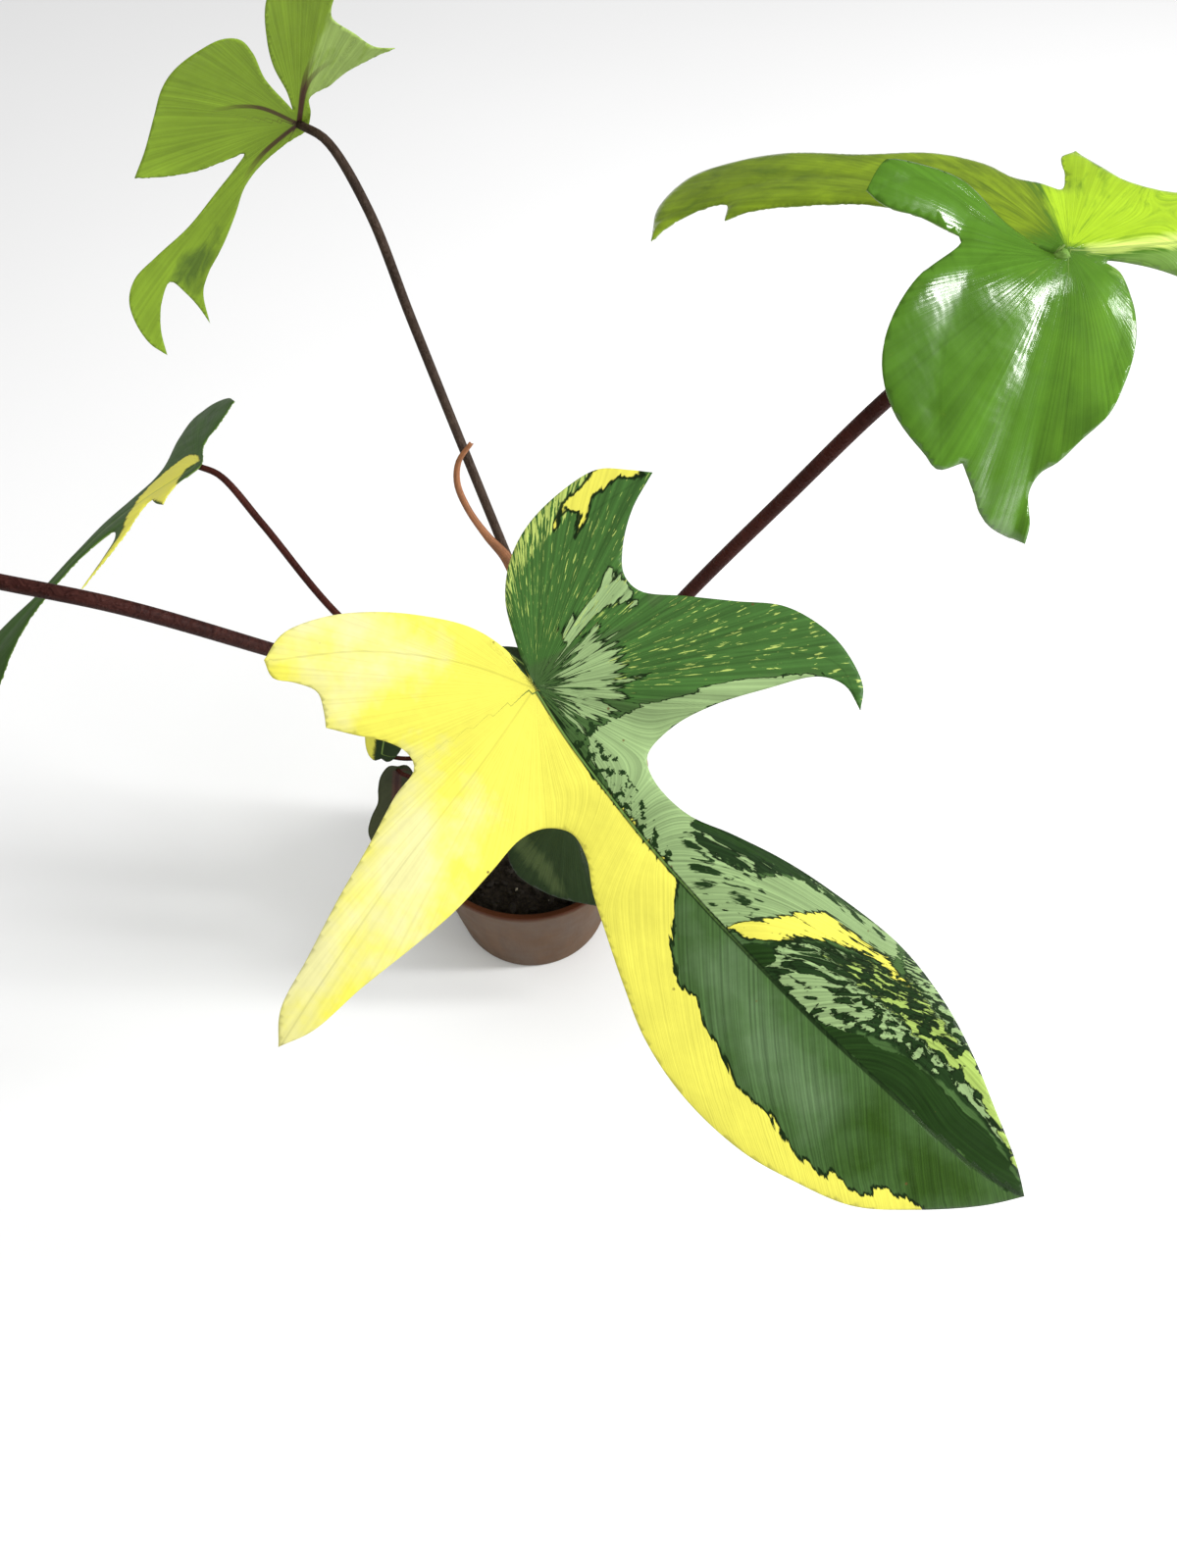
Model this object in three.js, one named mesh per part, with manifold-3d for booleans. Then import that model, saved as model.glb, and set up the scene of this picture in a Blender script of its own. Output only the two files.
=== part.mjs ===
// Climbing aroid with deeply lobed, variegated leaves, in a small brown plastic nursery pot.
// Millimetres, +Z up. The origin is the centre of the pot's flat foot. The largest leaf faces -Y.
// Every leaf is a petiole and a thin blade. A blade is drawn flat, as an outline round the point
// where its petiole is attached, and is then bent along rays that leave this point.

import Module from "manifold-3d";
import * as THREE from "three";
import { mergeVertices } from "three/addons/utils/BufferGeometryUtils.js";

const wasm = await Module();
wasm.setup();

// Pot
const POT_HEIGHT = 94;
const POT_LIP_RADIUS = 60;
const POT_FOOT_RADIUS = 45;
const POT_WALL = 1.6;
const LIP_HEIGHT = 5;
const LIP_OVERHANG = 1.4;
const EDGE_ROUNDING = 1;
const FOOT_ROUNDING = 2;
const FLOOR_THICKNESS = 2;
const ROUND_SIDES = 40;
const DRAIN_HOLES = 8;
const DRAIN_HOLE_RADIUS = 4;
const DRAIN_RING_RADIUS = 28;
const DRAIN_HOLE_SIDES = 10;

// Soil
const SOIL_DEPTH_BELOW_LIP = 10;
const SOIL_RINGS = 8;
const SOIL_LUMP_HEIGHT = 1;
const SOIL_SHOULDER = 3;
// Waves that lump the soil: how fast each turns along x and y in radians per mm, its phase and share
const SOIL_WAVES = [
  { alongX: 0.31, alongY: 0.12, phase: 1.1, share: 0.7 },
  { alongX: 0.13, alongY: -0.41, phase: 2, share: 0.6 },
  { alongX: -0.2, alongY: 0.33, phase: 0.4, share: 0.5 },
];

// Stem, as the points of its leaning centre line from under the soil to its tip
const STEM_LINE = [[0, 0, 48], [2, 0, 86], [9, 1, 122], [19, 1, 162], [27, 1, 198]];
const STEM_RADIUS = 6.5;
const STEM_SIDES = 10;
const STEM_STEPS = 14;

// Fits and sections
const GAP = 0.3;
const MERGE_DISTANCE = 1e-4;
const BLADE_THICKNESS = 0.9;
const BLADE_CUT_DEPTH = 3;
const PETIOLE_SIDES = 8;
const PETIOLE_STEPS = 14;

// Triangulation of a blade
const GRID_STEP = 13;
const EDGE_STEP = 7.5;
const GRID_JITTER = 0.6;
const GRID_SEED = 7;
const RANDOM_FACTOR = 16807;
const RANDOM_RANGE = 2147483647;
const GRID_EDGE_CLEARANCE = 0.5 * GRID_STEP;
const BEND_STEPS = 16;
const ATTACH_FLAT_RADIUS = 12;

const COLOURS = {
  pot: 0x7a4a38,
  soil: 0x2a231b,
  stem: 0x4c3a2a,
  petiole: 0x4a211d,
  oliveBrownPetiole: 0x4a4034,
  yellow: 0xf2ee6a,
  darkGreen: 0x2f5a2c,
  green: 0x4b7d2b,
  paleGreen: 0x86a83c,
  drySheath: 0x9c5a2c,
};
const ROUGHNESS = {
  pot: 0.55,
  soil: 0.95,
  stem: 0.8,
  petiole: 0.6,
  blade: 0.4,
  drySheath: 0.7,
};

// Half of a five-lobed blade, in parts of its length: hind lobe, side lobe, then the tip.
const FIVE_LOBED_HALF = [
  [[-0.02, 0], [-0.09, 0.05], [-0.17, 0.14], [-0.21, 0.26], [-0.18, 0.36]],
  [[-0.18, 0.36], [-0.11, 0.3], [-0.03, 0.25], [0.03, 0.28], [0.11, 0.38], [0.2, 0.47], [0.28, 0.52]],
  [[0.28, 0.52], [0.25, 0.38], [0.2, 0.25], [0.18, 0.14], [0.24, 0.1], [0.36, 0.15], [0.5, 0.2],
    [0.66, 0.22], [0.82, 0.17], [0.94, 0.07], [1, 0]],
];

// Half of a young blade with a waist, in parts of its length.
const WAISTED_HALF = [
  [[-0.04, 0], [-0.05, 0.1], [0.05, 0.19], [0.2, 0.22], [0.35, 0.22], [0.5, 0.3], [0.65, 0.34],
    [0.8, 0.27], [0.93, 0.12], [1, 0]],
];

// Half of a very young, oval blade, in parts of its length.
const OVAL_HALF = [
  [[-0.04, 0], [-0.07, 0.1], [-0.02, 0.2], [0.12, 0.29], [0.3, 0.32], [0.55, 0.26], [0.8, 0.14], [1, 0]],
];

// Plan of the largest blade. x runs along the midrib, y to its left as seen from above.
const LEAF_1_OUTLINE = [
  [[-4, 1], [-15, 2], [-28, -1], [-42, -10], [-54, -21], [-63, -33], [-68, -46], [-66, -56]],
  [[-66, -56], [-60, -58], [-54, -54], [-47, -51], [-41, -54], [-37, -57]],
  [[-37, -57], [-29, -52], [-20, -46], [-13, -44], [-8, -46], [-6, -56], [-1, -71], [5, -91],
    [12, -112], [18, -130], [26, -139]],
  [[26, -139], [30, -127], [31, -106], [33, -85], [34, -68], [33, -51], [32, -37], [35, -29],
    [42, -24], [51, -26], [60, -32], [72, -38], [89, -46], [106, -53], [128, -57], [154, -56],
    [173, -51], [194, -43], [210, -30], [227, -13], [237, 0]],
  [[237, 0], [224, 6], [204, 13], [184, 20], [164, 25], [141, 27], [112, 23], [95, 19], [78, 13],
    [63, 7], [48, 7], [41, 11], [40, 23], [44, 37], [52, 53], [61, 68], [69, 72], [78, 70]],
  [[78, 70], [73, 76], [61, 80], [50, 80], [37, 76], [25, 66], [13, 56], [1, 46], [-6, 46],
    [-12, 51], [-19, 62], [-23, 75]],
  [[-23, 75], [-29, 70], [-36, 63], [-39, 51], [-39, 35], [-35, 23], [-27, 13], [-15, 6], [-4, 1]],
];

// The near hind lobe, the broad near side lobe, the tip, the far side lobe, then the long far hind lobe
const LEAF_2_OUTLINE = [
  [[-1, -1], [-8, -1], [-20, -2], [-36, -3], [-48, -11], [-56, -20], [-57, -28]],
  [[-57, -28], [-50, -26], [-42, -22], [-33, -18], [-28, -16], [-37, -29], [-45, -46], [-46, -53],
    [-44, -58], [-38, -63], [-33, -67], [-26, -64]],
  [[-26, -64], [-20, -73], [-15, -80], [-5, -85], [2, -87]],
  [[2, -87], [2, -81], [-1, -71], [1, -65], [6, -61], [11, -54], [16, -47], [18, -39], [19, -29],
    [18, -18], [15, -8], [11, -4], [20, -6], [31, -10], [45, -17], [65, -25], [90, -30], [115, -27],
    [142, -15], [165, 0]],
  [[165, 0], [155, 9], [135, 22], [110, 31], [85, 33], [60, 29], [44, 26], [34, 31], [32, 41], [32, 53]],
  [[32, 53], [26, 50], [20, 38], [14, 30], [9, 34], [3, 38], [-1, 48], [-12, 61], [-31, 73],
    [-48, 94], [-61, 106], [-76, 115], [-91, 108], [-102, 86]],
  [[-102, 86], [-94, 88], [-82, 85], [-76, 79], [-80, 70]],
  [[-80, 70], [-72, 67], [-58, 57], [-42, 45], [-26, 28], [-12, 12], [-1, 1], [-1, -1]],
];

// Seen from its upper face: the left lobe, the hanging tip with its fork, then the two hind lobes
const LEAF_3_OUTLINE = [
  [[-5, 5], [-14, 21], [-24, 31], [-28, 38], [-26, 44], [-18, 50], [-6, 55], [4, 56], [18, 54],
    [34, 52], [47, 52]],
  [[47, 52], [44, 43], [37, 30], [28, 20], [22, 14], [30, 15], [42, 18], [62, 24], [79, 33],
    [91, 39], [101, 39], [110, 34], [118, 25], [121, 16]],
  [[121, 16], [110, 22], [97, 25], [88, 24], [91, 16], [95, 9], [101, 1]],
  [[101, 1], [89, 8], [81, 9], [64, 7], [50, 7], [36, 8], [22, 5], [10, 0], [1, -4], [-7, -2],
    [-14, 2], [-23, -2], [-34, -5], [-45, -10], [-53, -14]],
  [[-53, -14], [-49, -7], [-50, 2], [-52, 12], [-57, 15], [-70, 18], [-84, 23], [-96, 32]],
  [[-96, 32], [-84, 36], [-66, 39], [-48, 37], [-32, 29], [-21, 21], [-12, 11], [-5, 5]],
];

// The far hind lobe, the far margin, the tip, the thin near side lobe, then a short tooth
const LEAF_4_OUTLINE = [
  [[-4, 0], [-14, -22], [-28, -31], [-46, -48]],
  [[-46, -48], [-48, -66], [-42, -84], [-32, -88], [-14, -69], [10, -36], [31, -27], [50, -19],
    [70, -4], [88, 6], [100, 11], [116, 12], [136, 16], [152, 30], [158, 48], [156, 64]],
  [[156, 64], [146, 66], [136, 60], [125, 46], [111, 32], [92, 20], [76, 12], [62, 8], [53, 9],
    [55, 19], [66, 31], [84, 45]],
  [[84, 45], [72, 39], [59, 31], [49, 23], [40, 12], [33, 4], [28, 2]],
  [[28, 2], [29, 12], [28, 22]],
  [[28, 22], [21, 12], [15, 7], [7, 6], [0, 6], [-4, 0]],
];

// A young blade, much broader on its near half
const LEAF_7_OUTLINE = [
  [[-4, 0], [-5, 8], [3, 18], [18, 24], [40, 24], [64, 18], [86, 9], [100, 0]],
  [[100, 0], [94, -4], [80, -12], [60, -24], [40, -35], [20, -43], [0, -44], [-11, -35], [-13, -20],
    [-8, -8], [-4, 0]],
];

// Each bend gives, for a ray at angle "at" of the plan, how far its heading turns sideways in space
// and how far it turns down near the attachment (dip) and by its far end (droop), all in degrees.
const EVEN_BENDS = [
  { at: -180, turn: 0, dip: 4, droop: 16 },
  { at: -100, turn: 0, dip: 5, droop: 20 },
  { at: 0, turn: 0, dip: 2, droop: 26 },
  { at: 100, turn: 0, dip: 5, droop: 20 },
  { at: 180, turn: 0, dip: 4, droop: 16 },
];
const LEAF_1_BENDS = [
  { at: -180, turn: 0, dip: -4, droop: 8 },
  { at: -139, turn: 0, dip: -9, droop: 20 },
  { at: -110, turn: 0, dip: -5, droop: 12 },
  { at: -79, turn: 0, dip: -11, droop: 26 },
  { at: -40, turn: 0, dip: -4, droop: 12 },
  { at: 0, turn: 0, dip: -11, droop: 26 },
  { at: 25, turn: 0, dip: -4, droop: 12 },
  { at: 42, turn: 0, dip: -9, droop: 24 },
  { at: 75, turn: 0, dip: -4, droop: 12 },
  { at: 107, turn: 0, dip: -9, droop: 22 },
  { at: 180, turn: 0, dip: -4, droop: 8 },
];
const LEAF_2_BENDS = [
  { at: -178, turn: -34, dip: -24, droop: 8 },
  { at: -160, turn: -36, dip: -22, droop: 8 },
  { at: -142, turn: -22, dip: -8, droop: 10 },
  { at: -120, turn: -8, dip: 20, droop: 20 },
  { at: -92, turn: -3, dip: 46, droop: 26 },
  { at: -40, turn: 8, dip: 18, droop: 16 },
  { at: 0, turn: 0, dip: -12, droop: 30 },
  { at: 30, turn: 5, dip: 0, droop: 16 },
  { at: 65, turn: 13, dip: 6, droop: 22 },
  { at: 140, turn: 16, dip: 0, droop: 44 },
  { at: 180, turn: 12, dip: -2, droop: 20 },
];
const LEAF_3_BENDS = [
  { at: -180, turn: 0, dip: 4, droop: 10 },
  { at: -60, turn: 0, dip: 6, droop: 14 },
  { at: 0, turn: 0, dip: 4, droop: 30 },
  { at: 60, turn: 0, dip: 6, droop: 14 },
  { at: 110, turn: 0, dip: 6, droop: 20 },
  { at: 180, turn: 0, dip: 4, droop: 10 },
];
const LEAF_4_BENDS = [
  { at: -180, turn: 0, dip: -6, droop: 10 },
  { at: -60, turn: 0, dip: -4, droop: 16 },
  { at: 0, turn: 0, dip: -8, droop: 16 },
  { at: 60, turn: 0, dip: -4, droop: 16 },
  { at: 180, turn: 0, dip: -6, droop: 10 },
];

const LEAVES = [
  {
    name: "leaf_1",
    colour: COLOURS.yellow,
    petioleColour: COLOURS.petiole,
    attach: [17, -106, 353],
    midrib: [0.695, -0.603, -0.392],
    upward: [0, -0.545, 0.839],
    length: 228,
    outline: LEAF_1_OUTLINE,
    bends: LEAF_1_BENDS,
    petioleLine: [[23, -2, 186], [27, -30, 240], [26, -66, 305], [17, -90, 341]],
    petioleRadius: 2.5,
  },
  {
    name: "leaf_2",
    colour: COLOURS.green,
    petioleColour: COLOURS.petiole,
    attach: [173, -24, 454],
    midrib: [0.99, 0.05, -0.05],
    upward: [-0.05, -0.12, 0.99],
    length: 165,
    outline: LEAF_2_OUTLINE,
    bends: LEAF_2_BENDS,
    petioleLine: [[29, 1, 193], [76, -6, 288], [108, -10, 345], [136, -13, 393], [162, -20, 434]],
    petioleRadius: 2.9,
  },
  {
    name: "leaf_3",
    colour: COLOURS.paleGreen,
    petioleColour: COLOURS.oliveBrownPetiole,
    attach: [-84, 149, 399],
    midrib: [-0.62, 0.1, -0.78],
    upward: [-0.2, 0.95, 0.25],
    length: 125,
    outline: LEAF_3_OUTLINE,
    bends: LEAF_3_BENDS,
    petioleLine: [[27, 6, 188], [-4, 45, 261], [-41, 101, 341], [-57, 127, 375], [-72, 141, 396]],
    petioleRadius: 2.1,
  },
  {
    name: "leaf_4",
    colour: COLOURS.darkGreen,
    petioleColour: COLOURS.petiole,
    attach: [-159, 109, 254],
    midrib: [-0.69, -0.7, -0.19],
    upward: [-0.48, 0.24, 0.84],
    length: 160,
    outline: LEAF_4_OUTLINE,
    bends: LEAF_4_BENDS,
    petioleLine: [[8, 2, 124], [-42, 30, 161], [-97, 68, 192], [-130, 94, 229], [-148, 106, 250]],
    petioleRadius: 1.9,
  },
  {
    name: "leaf_5",
    colour: COLOURS.darkGreen,
    petioleColour: COLOURS.petiole,
    attach: [-212, -68, 380],
    midrib: [-0.72, -0.12, -0.68],
    upward: [-0.66, -0.1, 0.74],
    length: 170,
    outline: wholeOutline(FIVE_LOBED_HALF, 170, 170),
    bends: EVEN_BENDS,
    petioleLine: [[17, -3, 164], [-12, -22, 226], [-46, -44, 274], [-80, -67, 325], [-120, -79, 362],
      [-160, -77, 373]],
    petioleRadius: 2.7,
  },
  {
    name: "leaf_6",
    colour: COLOURS.darkGreen,
    petioleColour: COLOURS.petiole,
    attach: [-63, -6, 156],
    midrib: [-0.15, -0.35, -0.93],
    upward: [-0.3, 0.9, -0.3],
    length: 54,
    outline: wholeOutline(WAISTED_HALF, 54, 44),
    bends: EVEN_BENDS,
    petioleLine: [[8, -1, 112], [-16, -4, 132], [-44, -9, 148], [-60, -9, 156]],
    petioleRadius: 1.3,
  },
  {
    name: "leaf_7",
    colour: COLOURS.darkGreen,
    petioleColour: COLOURS.petiole,
    attach: [24, -29, 163],
    midrib: [0.72, -0.45, -0.28],
    upward: [0, -0.35, 0.93],
    length: 100,
    outline: LEAF_7_OUTLINE,
    bends: EVEN_BENDS,
    petioleLine: [[8, -2, 116], [13, -14, 136], [20, -25, 155]],
    petioleRadius: 1.6,
  },
  {
    name: "leaf_8",
    colour: COLOURS.darkGreen,
    petioleColour: COLOURS.petiole,
    attach: [13, 14, 203],
    midrib: [-0.7, 0.3, 0.6],
    upward: [0.2, -0.5, 0.8],
    length: 28,
    outline: wholeOutline(OVAL_HALF, 28, 28),
    bends: EVEN_BENDS,
    petioleLine: [[19, 5, 168], [9, 14, 184], [10, 15, 195]],
    petioleRadius: 1.5,
  },
  {
    name: "leaf_9",
    colour: COLOURS.darkGreen,
    petioleColour: COLOURS.petiole,
    attach: [-71, 0, 160],
    midrib: [0.12, 0.85, 0.45],
    upward: [-0.1, -0.45, 0.88],
    length: 46,
    outline: wholeOutline(OVAL_HALF, 46, 34),
    bends: EVEN_BENDS,
    petioleLine: [[8, 2, 118], [-18, 3, 140], [-44, 2, 154], [-61, 0, 157]],
    petioleRadius: 1.2,
  },
];

// Dry sheaths, as centre lines from the stem outwards, with their half width at the foot.
const SHEATHS = [
  {
    name: "cataphyll_1",
    line: [[20, -1, 170], [14, -2, 190], [12, 6, 212], [5, 27, 246], [-2, 37, 262], [-11, 42, 272],
      [-19, 47, 284], [-23, 53, 293], [-22, 58, 301], [-16, 61, 309]],
    halfWidth: 3.5,
  },
  {
    name: "cataphyll_2",
    line: [[25, 0, 178], [42, -2, 190], [56, -6, 188], [61, -12, 181], [63, -17, 173], [60, -18, 166]],
    halfWidth: 1.7,
  },
];
const SHEATH_THICKNESS = 0.8;
const SHEATH_HOLLOW = 0.7;
const SHEATH_TAPER = 0.55;
const SHEATH_STEPS = 14;
const SHEATH_CURVE_STEPS = 3;

const vector = (point) => new THREE.Vector3(...point);
const radians = THREE.MathUtils.degToRad;

// Small repeatable random numbers from 0 to 1
function seededRandom(seed) {
  let state = seed;
  return () => {
    state = (state * RANDOM_FACTOR) % RANDOM_RANGE;
    return state / RANDOM_RANGE;
  };
}

function material(colour, roughness) {
  return new THREE.MeshStandardMaterial({ color: colour, roughness, metalness: 0, side: THREE.DoubleSide });
}

function namedMesh(name, geometry, colour, roughness) {
  const mesh = new THREE.Mesh(geometry, material(colour, roughness));
  mesh.name = name;
  return mesh;
}

// Turns a closed geometry into a solid that can be joined and cut.
function solidFrom(geometry) {
  const bare = geometry.clone();
  bare.deleteAttribute("normal");
  bare.deleteAttribute("uv");
  const merged = mergeVertices(bare, MERGE_DISTANCE);
  return new wasm.Manifold(new wasm.Mesh({
    numProp: 3,
    vertProperties: new Float32Array(merged.attributes.position.array),
    triVerts: new Uint32Array(merged.index.array),
  }));
}

function geometryFrom(solid) {
  const mesh = solid.getMesh();
  const geometry = new THREE.BufferGeometry();
  geometry.setAttribute("position", new THREE.BufferAttribute(new Float32Array(mesh.vertProperties), 3));
  geometry.setIndex(Array.from(mesh.triVerts));
  geometry.computeVertexNormals();
  return geometry;
}

// The bend of a blade at one angle of its plan, blended between the rays that are given.
function bendAt(leaf, angle) {
  const { bends } = leaf;
  const after = bends.findIndex((bend) => bend.at >= angle);
  const to = after < 0 ? bends[bends.length - 1] : bends[after];
  const from = after > 0 ? bends[after - 1] : to;
  const along = to === from ? 0 : (angle - from.at) / (to.at - from.at);
  const blend = (along + along * along * (3 - 2 * along)) / 2;
  return {
    heading: radians(angle + THREE.MathUtils.lerp(from.turn, to.turn, blend)),
    dip: radians(THREE.MathUtils.lerp(from.dip, to.dip, blend)),
    droop: radians(THREE.MathUtils.lerp(from.droop, to.droop, blend)),
  };
}

// The three directions of a blade at its attachment: along the midrib, to the left, and up.
function bladeAxes(leaf) {
  const along = vector(leaf.midrib).normalize();
  const left = vector(leaf.upward).cross(along).normalize();
  const up = along.clone().cross(left);
  return { along, left, up };
}

// Where a point of the flat plan lies in space.
function bladePoint(leaf, x, y) {
  const reach = Math.hypot(x, y);
  const bend = bendAt(leaf, THREE.MathUtils.radToDeg(Math.atan2(y, x)));
  let out = 0;
  let down = 0;
  for (let step = 0; step < BEND_STEPS; step += 1) {
    const passed = (reach * (step + 0.5)) / BEND_STEPS;
    const dip = bend.dip * (1 - Math.exp(-passed / ATTACH_FLAT_RADIUS));
    const turn = dip + (bend.droop * passed) / leaf.length;
    out += (Math.cos(turn) * reach) / BEND_STEPS;
    down += (Math.sin(turn) * reach) / BEND_STEPS;
  }
  const { along, left, up } = bladeAxes(leaf);
  return vector(leaf.attach)
    .addScaledVector(along, Math.cos(bend.heading) * out)
    .addScaledVector(left, Math.sin(bend.heading) * out)
    .addScaledVector(up, -down);
}

function bladeNormal(leaf, x, y) {
  const probe = 0.5;
  if (Math.hypot(x, y) < 4 * probe) {
    return bladeAxes(leaf).up;
  }
  const alongX = bladePoint(leaf, x + probe, y).sub(bladePoint(leaf, x - probe, y));
  const alongY = bladePoint(leaf, x, y + probe).sub(bladePoint(leaf, x, y - probe));
  return alongX.cross(alongY).normalize();
}

// A half outline and its mirror image, at the size of the blade.
function wholeOutline(half, length, width) {
  const scaled = half.map((edge) => edge.map(([x, y]) => [x * length, y * width]));
  const mirrored = scaled.map((edge) => edge.map(([x, y]) => [x, -y]).reverse()).reverse();
  return [...scaled, ...mirrored];
}

// Points along the outline. Each edge is a smooth curve, and edges meet in the blade's corners.
function outlinePoints(leaf) {
  const points = [];
  for (const edge of leaf.outline) {
    const curve = new THREE.CatmullRomCurve3(edge.map(([x, y]) => new THREE.Vector3(x, y, 0)));
    const steps = Math.max(2, Math.round(curve.getLength() / EDGE_STEP));
    for (const point of curve.getSpacedPoints(steps).slice(0, steps)) {
      points.push(new THREE.Vector2(point.x, point.y));
    }
  }
  return THREE.ShapeUtils.area(points) < 0 ? points.reverse() : points;
}

function isInside(point, outline) {
  let inside = false;
  for (let i = 0, j = outline.length - 1; i < outline.length; j = i, i += 1) {
    const a = outline[i];
    const b = outline[j];
    const crosses = a.y > point.y !== b.y > point.y;
    if (crosses && point.x < ((b.x - a.x) * (point.y - a.y)) / (b.y - a.y) + a.x) {
      inside = !inside;
    }
  }
  return inside;
}

// A slightly uneven grid of points inside the outline, clear of its edge.
function innerPoints(outline) {
  const box = new THREE.Box2().setFromPoints(outline);
  const random = seededRandom(GRID_SEED);
  const points = [];
  const rowStep = (GRID_STEP * Math.sqrt(3)) / 2;
  let row = 0;
  for (let y = box.min.y; y < box.max.y; y += rowStep) {
    row += 1;
    for (let x = box.min.x + (row % 2) * GRID_STEP * 0.5; x < box.max.x; x += GRID_STEP) {
      const point = new THREE.Vector2(x + random() * GRID_JITTER, y + random() * GRID_JITTER);
      const clear = outline.every((corner) => corner.distanceTo(point) > GRID_EDGE_CLEARANCE);
      if (clear && isInside(point, outline)) {
        points.push(point);
      }
    }
  }
  return points;
}

// The circle through three points
function circleThrough(a, b, c) {
  const d = 2 * (a.x * (b.y - c.y) + b.x * (c.y - a.y) + c.x * (a.y - b.y));
  const aa = a.lengthSq();
  const bb = b.lengthSq();
  const cc = c.lengthSq();
  const x = (aa * (b.y - c.y) + bb * (c.y - a.y) + cc * (a.y - b.y)) / d;
  const y = (aa * (c.x - b.x) + bb * (a.x - c.x) + cc * (b.x - a.x)) / d;
  return { x, y, reachSq: (a.x - x) ** 2 + (a.y - y) ** 2 };
}

// Delaunay triangles of a set of points, each as three indices in anticlockwise order.
function delaunay(points) {
  const count = points.length;
  const far = 1e5;
  const frame = [[-far, -far], [far, -far], [0, far]].map(([x, y]) => new THREE.Vector2(x, y));
  const all = [...points, ...frame];
  const withCircle = (a, b, c) => ({ corners: [a, b, c], circle: circleThrough(all[a], all[b], all[c]) });
  let triangles = [withCircle(count, count + 1, count + 2)];
  for (let i = 0; i < count; i += 1) {
    const point = all[i];
    const open = new Map();
    const kept = [];
    for (const triangle of triangles) {
      const { x, y, reachSq } = triangle.circle;
      if ((point.x - x) ** 2 + (point.y - y) ** 2 >= reachSq) {
        kept.push(triangle);
        continue;
      }
      triangle.corners.forEach((from, k) => {
        const to = triangle.corners[(k + 1) % 3];
        if (!open.delete(`${to},${from}`)) {
          open.set(`${from},${to}`, [from, to]);
        }
      });
    }
    for (const [from, to] of open.values()) {
      kept.push(withCircle(from, to, i));
    }
    triangles = kept;
  }
  return triangles
    .map(({ corners }) => corners)
    .filter((corners) => corners.every((index) => index < count));
}

// The outline's edges that are missing from a set of triangles, each by the index of its first point
function missingEdges(triangles, count) {
  const edges = new Set();
  for (const corners of triangles) {
    corners.forEach((from, k) => edges.add(`${from},${corners[(k + 1) % 3]}`));
  }
  const missing = [];
  for (let i = 0; i < count; i += 1) {
    if (!edges.has(`${i},${(i + 1) % count}`)) {
      missing.push(i);
    }
  }
  return missing;
}

// Splits the flat blade into triangles. An outline edge that is left out is halved until all are there.
function triangulateBlade(leaf) {
  let outline = outlinePoints(leaf);
  const inner = innerPoints(outline);
  for (;;) {
    const points = [...outline, ...inner];
    const triangles = delaunay(points).filter(([a, b, c]) => {
      const middle = points[a].clone().add(points[b]).add(points[c]).divideScalar(3);
      return isInside(middle, outline);
    });
    const missing = new Set(missingEdges(triangles, outline.length));
    if (missing.size === 0) {
      return { points, triangles, outlineCount: outline.length };
    }
    outline = outline.flatMap((point, i) => {
      const next = outline[(i + 1) % outline.length];
      return missing.has(i) ? [point, point.clone().lerp(next, 0.5)] : [point];
    });
  }
}

// A blade between two sheets that follow its bent surface, with the same triangles in both.
function bladeGeometry(leaf, flat, below, above) {
  const { points, triangles, outlineCount } = flat;
  const count = points.length;
  const positions = [];
  for (const offset of [above, -below]) {
    for (const { x, y } of points) {
      positions.push(...bladePoint(leaf, x, y).addScaledVector(bladeNormal(leaf, x, y), offset));
    }
  }
  const index = [];
  for (const [a, b, c] of triangles) {
    index.push(a, b, c, a + count, c + count, b + count);
  }
  for (let i = 0; i < outlineCount; i += 1) {
    const next = (i + 1) % outlineCount;
    index.push(i, i + count, next, next, i + count, next + count);
  }
  const geometry = new THREE.BufferGeometry();
  geometry.setAttribute("position", new THREE.Float32BufferAttribute(positions, 3));
  geometry.setIndex(index);
  geometry.computeVertexNormals();
  return geometry;
}

// A round, many-sided rod of constant radius along a smooth line.
function rod(line, radius, sides, steps) {
  const section = new THREE.Shape();
  for (let i = 0; i < sides; i += 1) {
    const angle = (2 * Math.PI * i) / sides;
    const corner = [radius * Math.cos(angle), radius * Math.sin(angle)];
    if (i === 0) {
      section.moveTo(...corner);
    } else {
      section.lineTo(...corner);
    }
  }
  section.closePath();
  const path = new THREE.CatmullRomCurve3(line.map(vector));
  return new THREE.ExtrudeGeometry(section, { steps, extrudePath: path, bevelEnabled: false });
}

function potProfile() {
  const lipInner = POT_LIP_RADIUS - POT_WALL - LIP_OVERHANG;
  const wallTop = POT_LIP_RADIUS - LIP_OVERHANG;
  const footInner = POT_FOOT_RADIUS - POT_WALL;
  return [
    [0, 0],
    [POT_FOOT_RADIUS - FOOT_ROUNDING, 0],
    [POT_FOOT_RADIUS, FOOT_ROUNDING],
    [wallTop, POT_HEIGHT - LIP_HEIGHT],
    [POT_LIP_RADIUS, POT_HEIGHT - LIP_HEIGHT + EDGE_ROUNDING],
    [POT_LIP_RADIUS, POT_HEIGHT - EDGE_ROUNDING],
    [POT_LIP_RADIUS - EDGE_ROUNDING, POT_HEIGHT],
    [lipInner + EDGE_ROUNDING / 2, POT_HEIGHT],
    [lipInner, POT_HEIGHT - EDGE_ROUNDING],
    [footInner, FLOOR_THICKNESS],
    [0, FLOOR_THICKNESS],
  ].map(([r, z]) => new THREE.Vector2(r, z));
}

// Turned about the vertical axis of the pot
function turned(profile) {
  return new THREE.LatheGeometry(profile, ROUND_SIDES).rotateX(Math.PI / 2);
}

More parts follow.
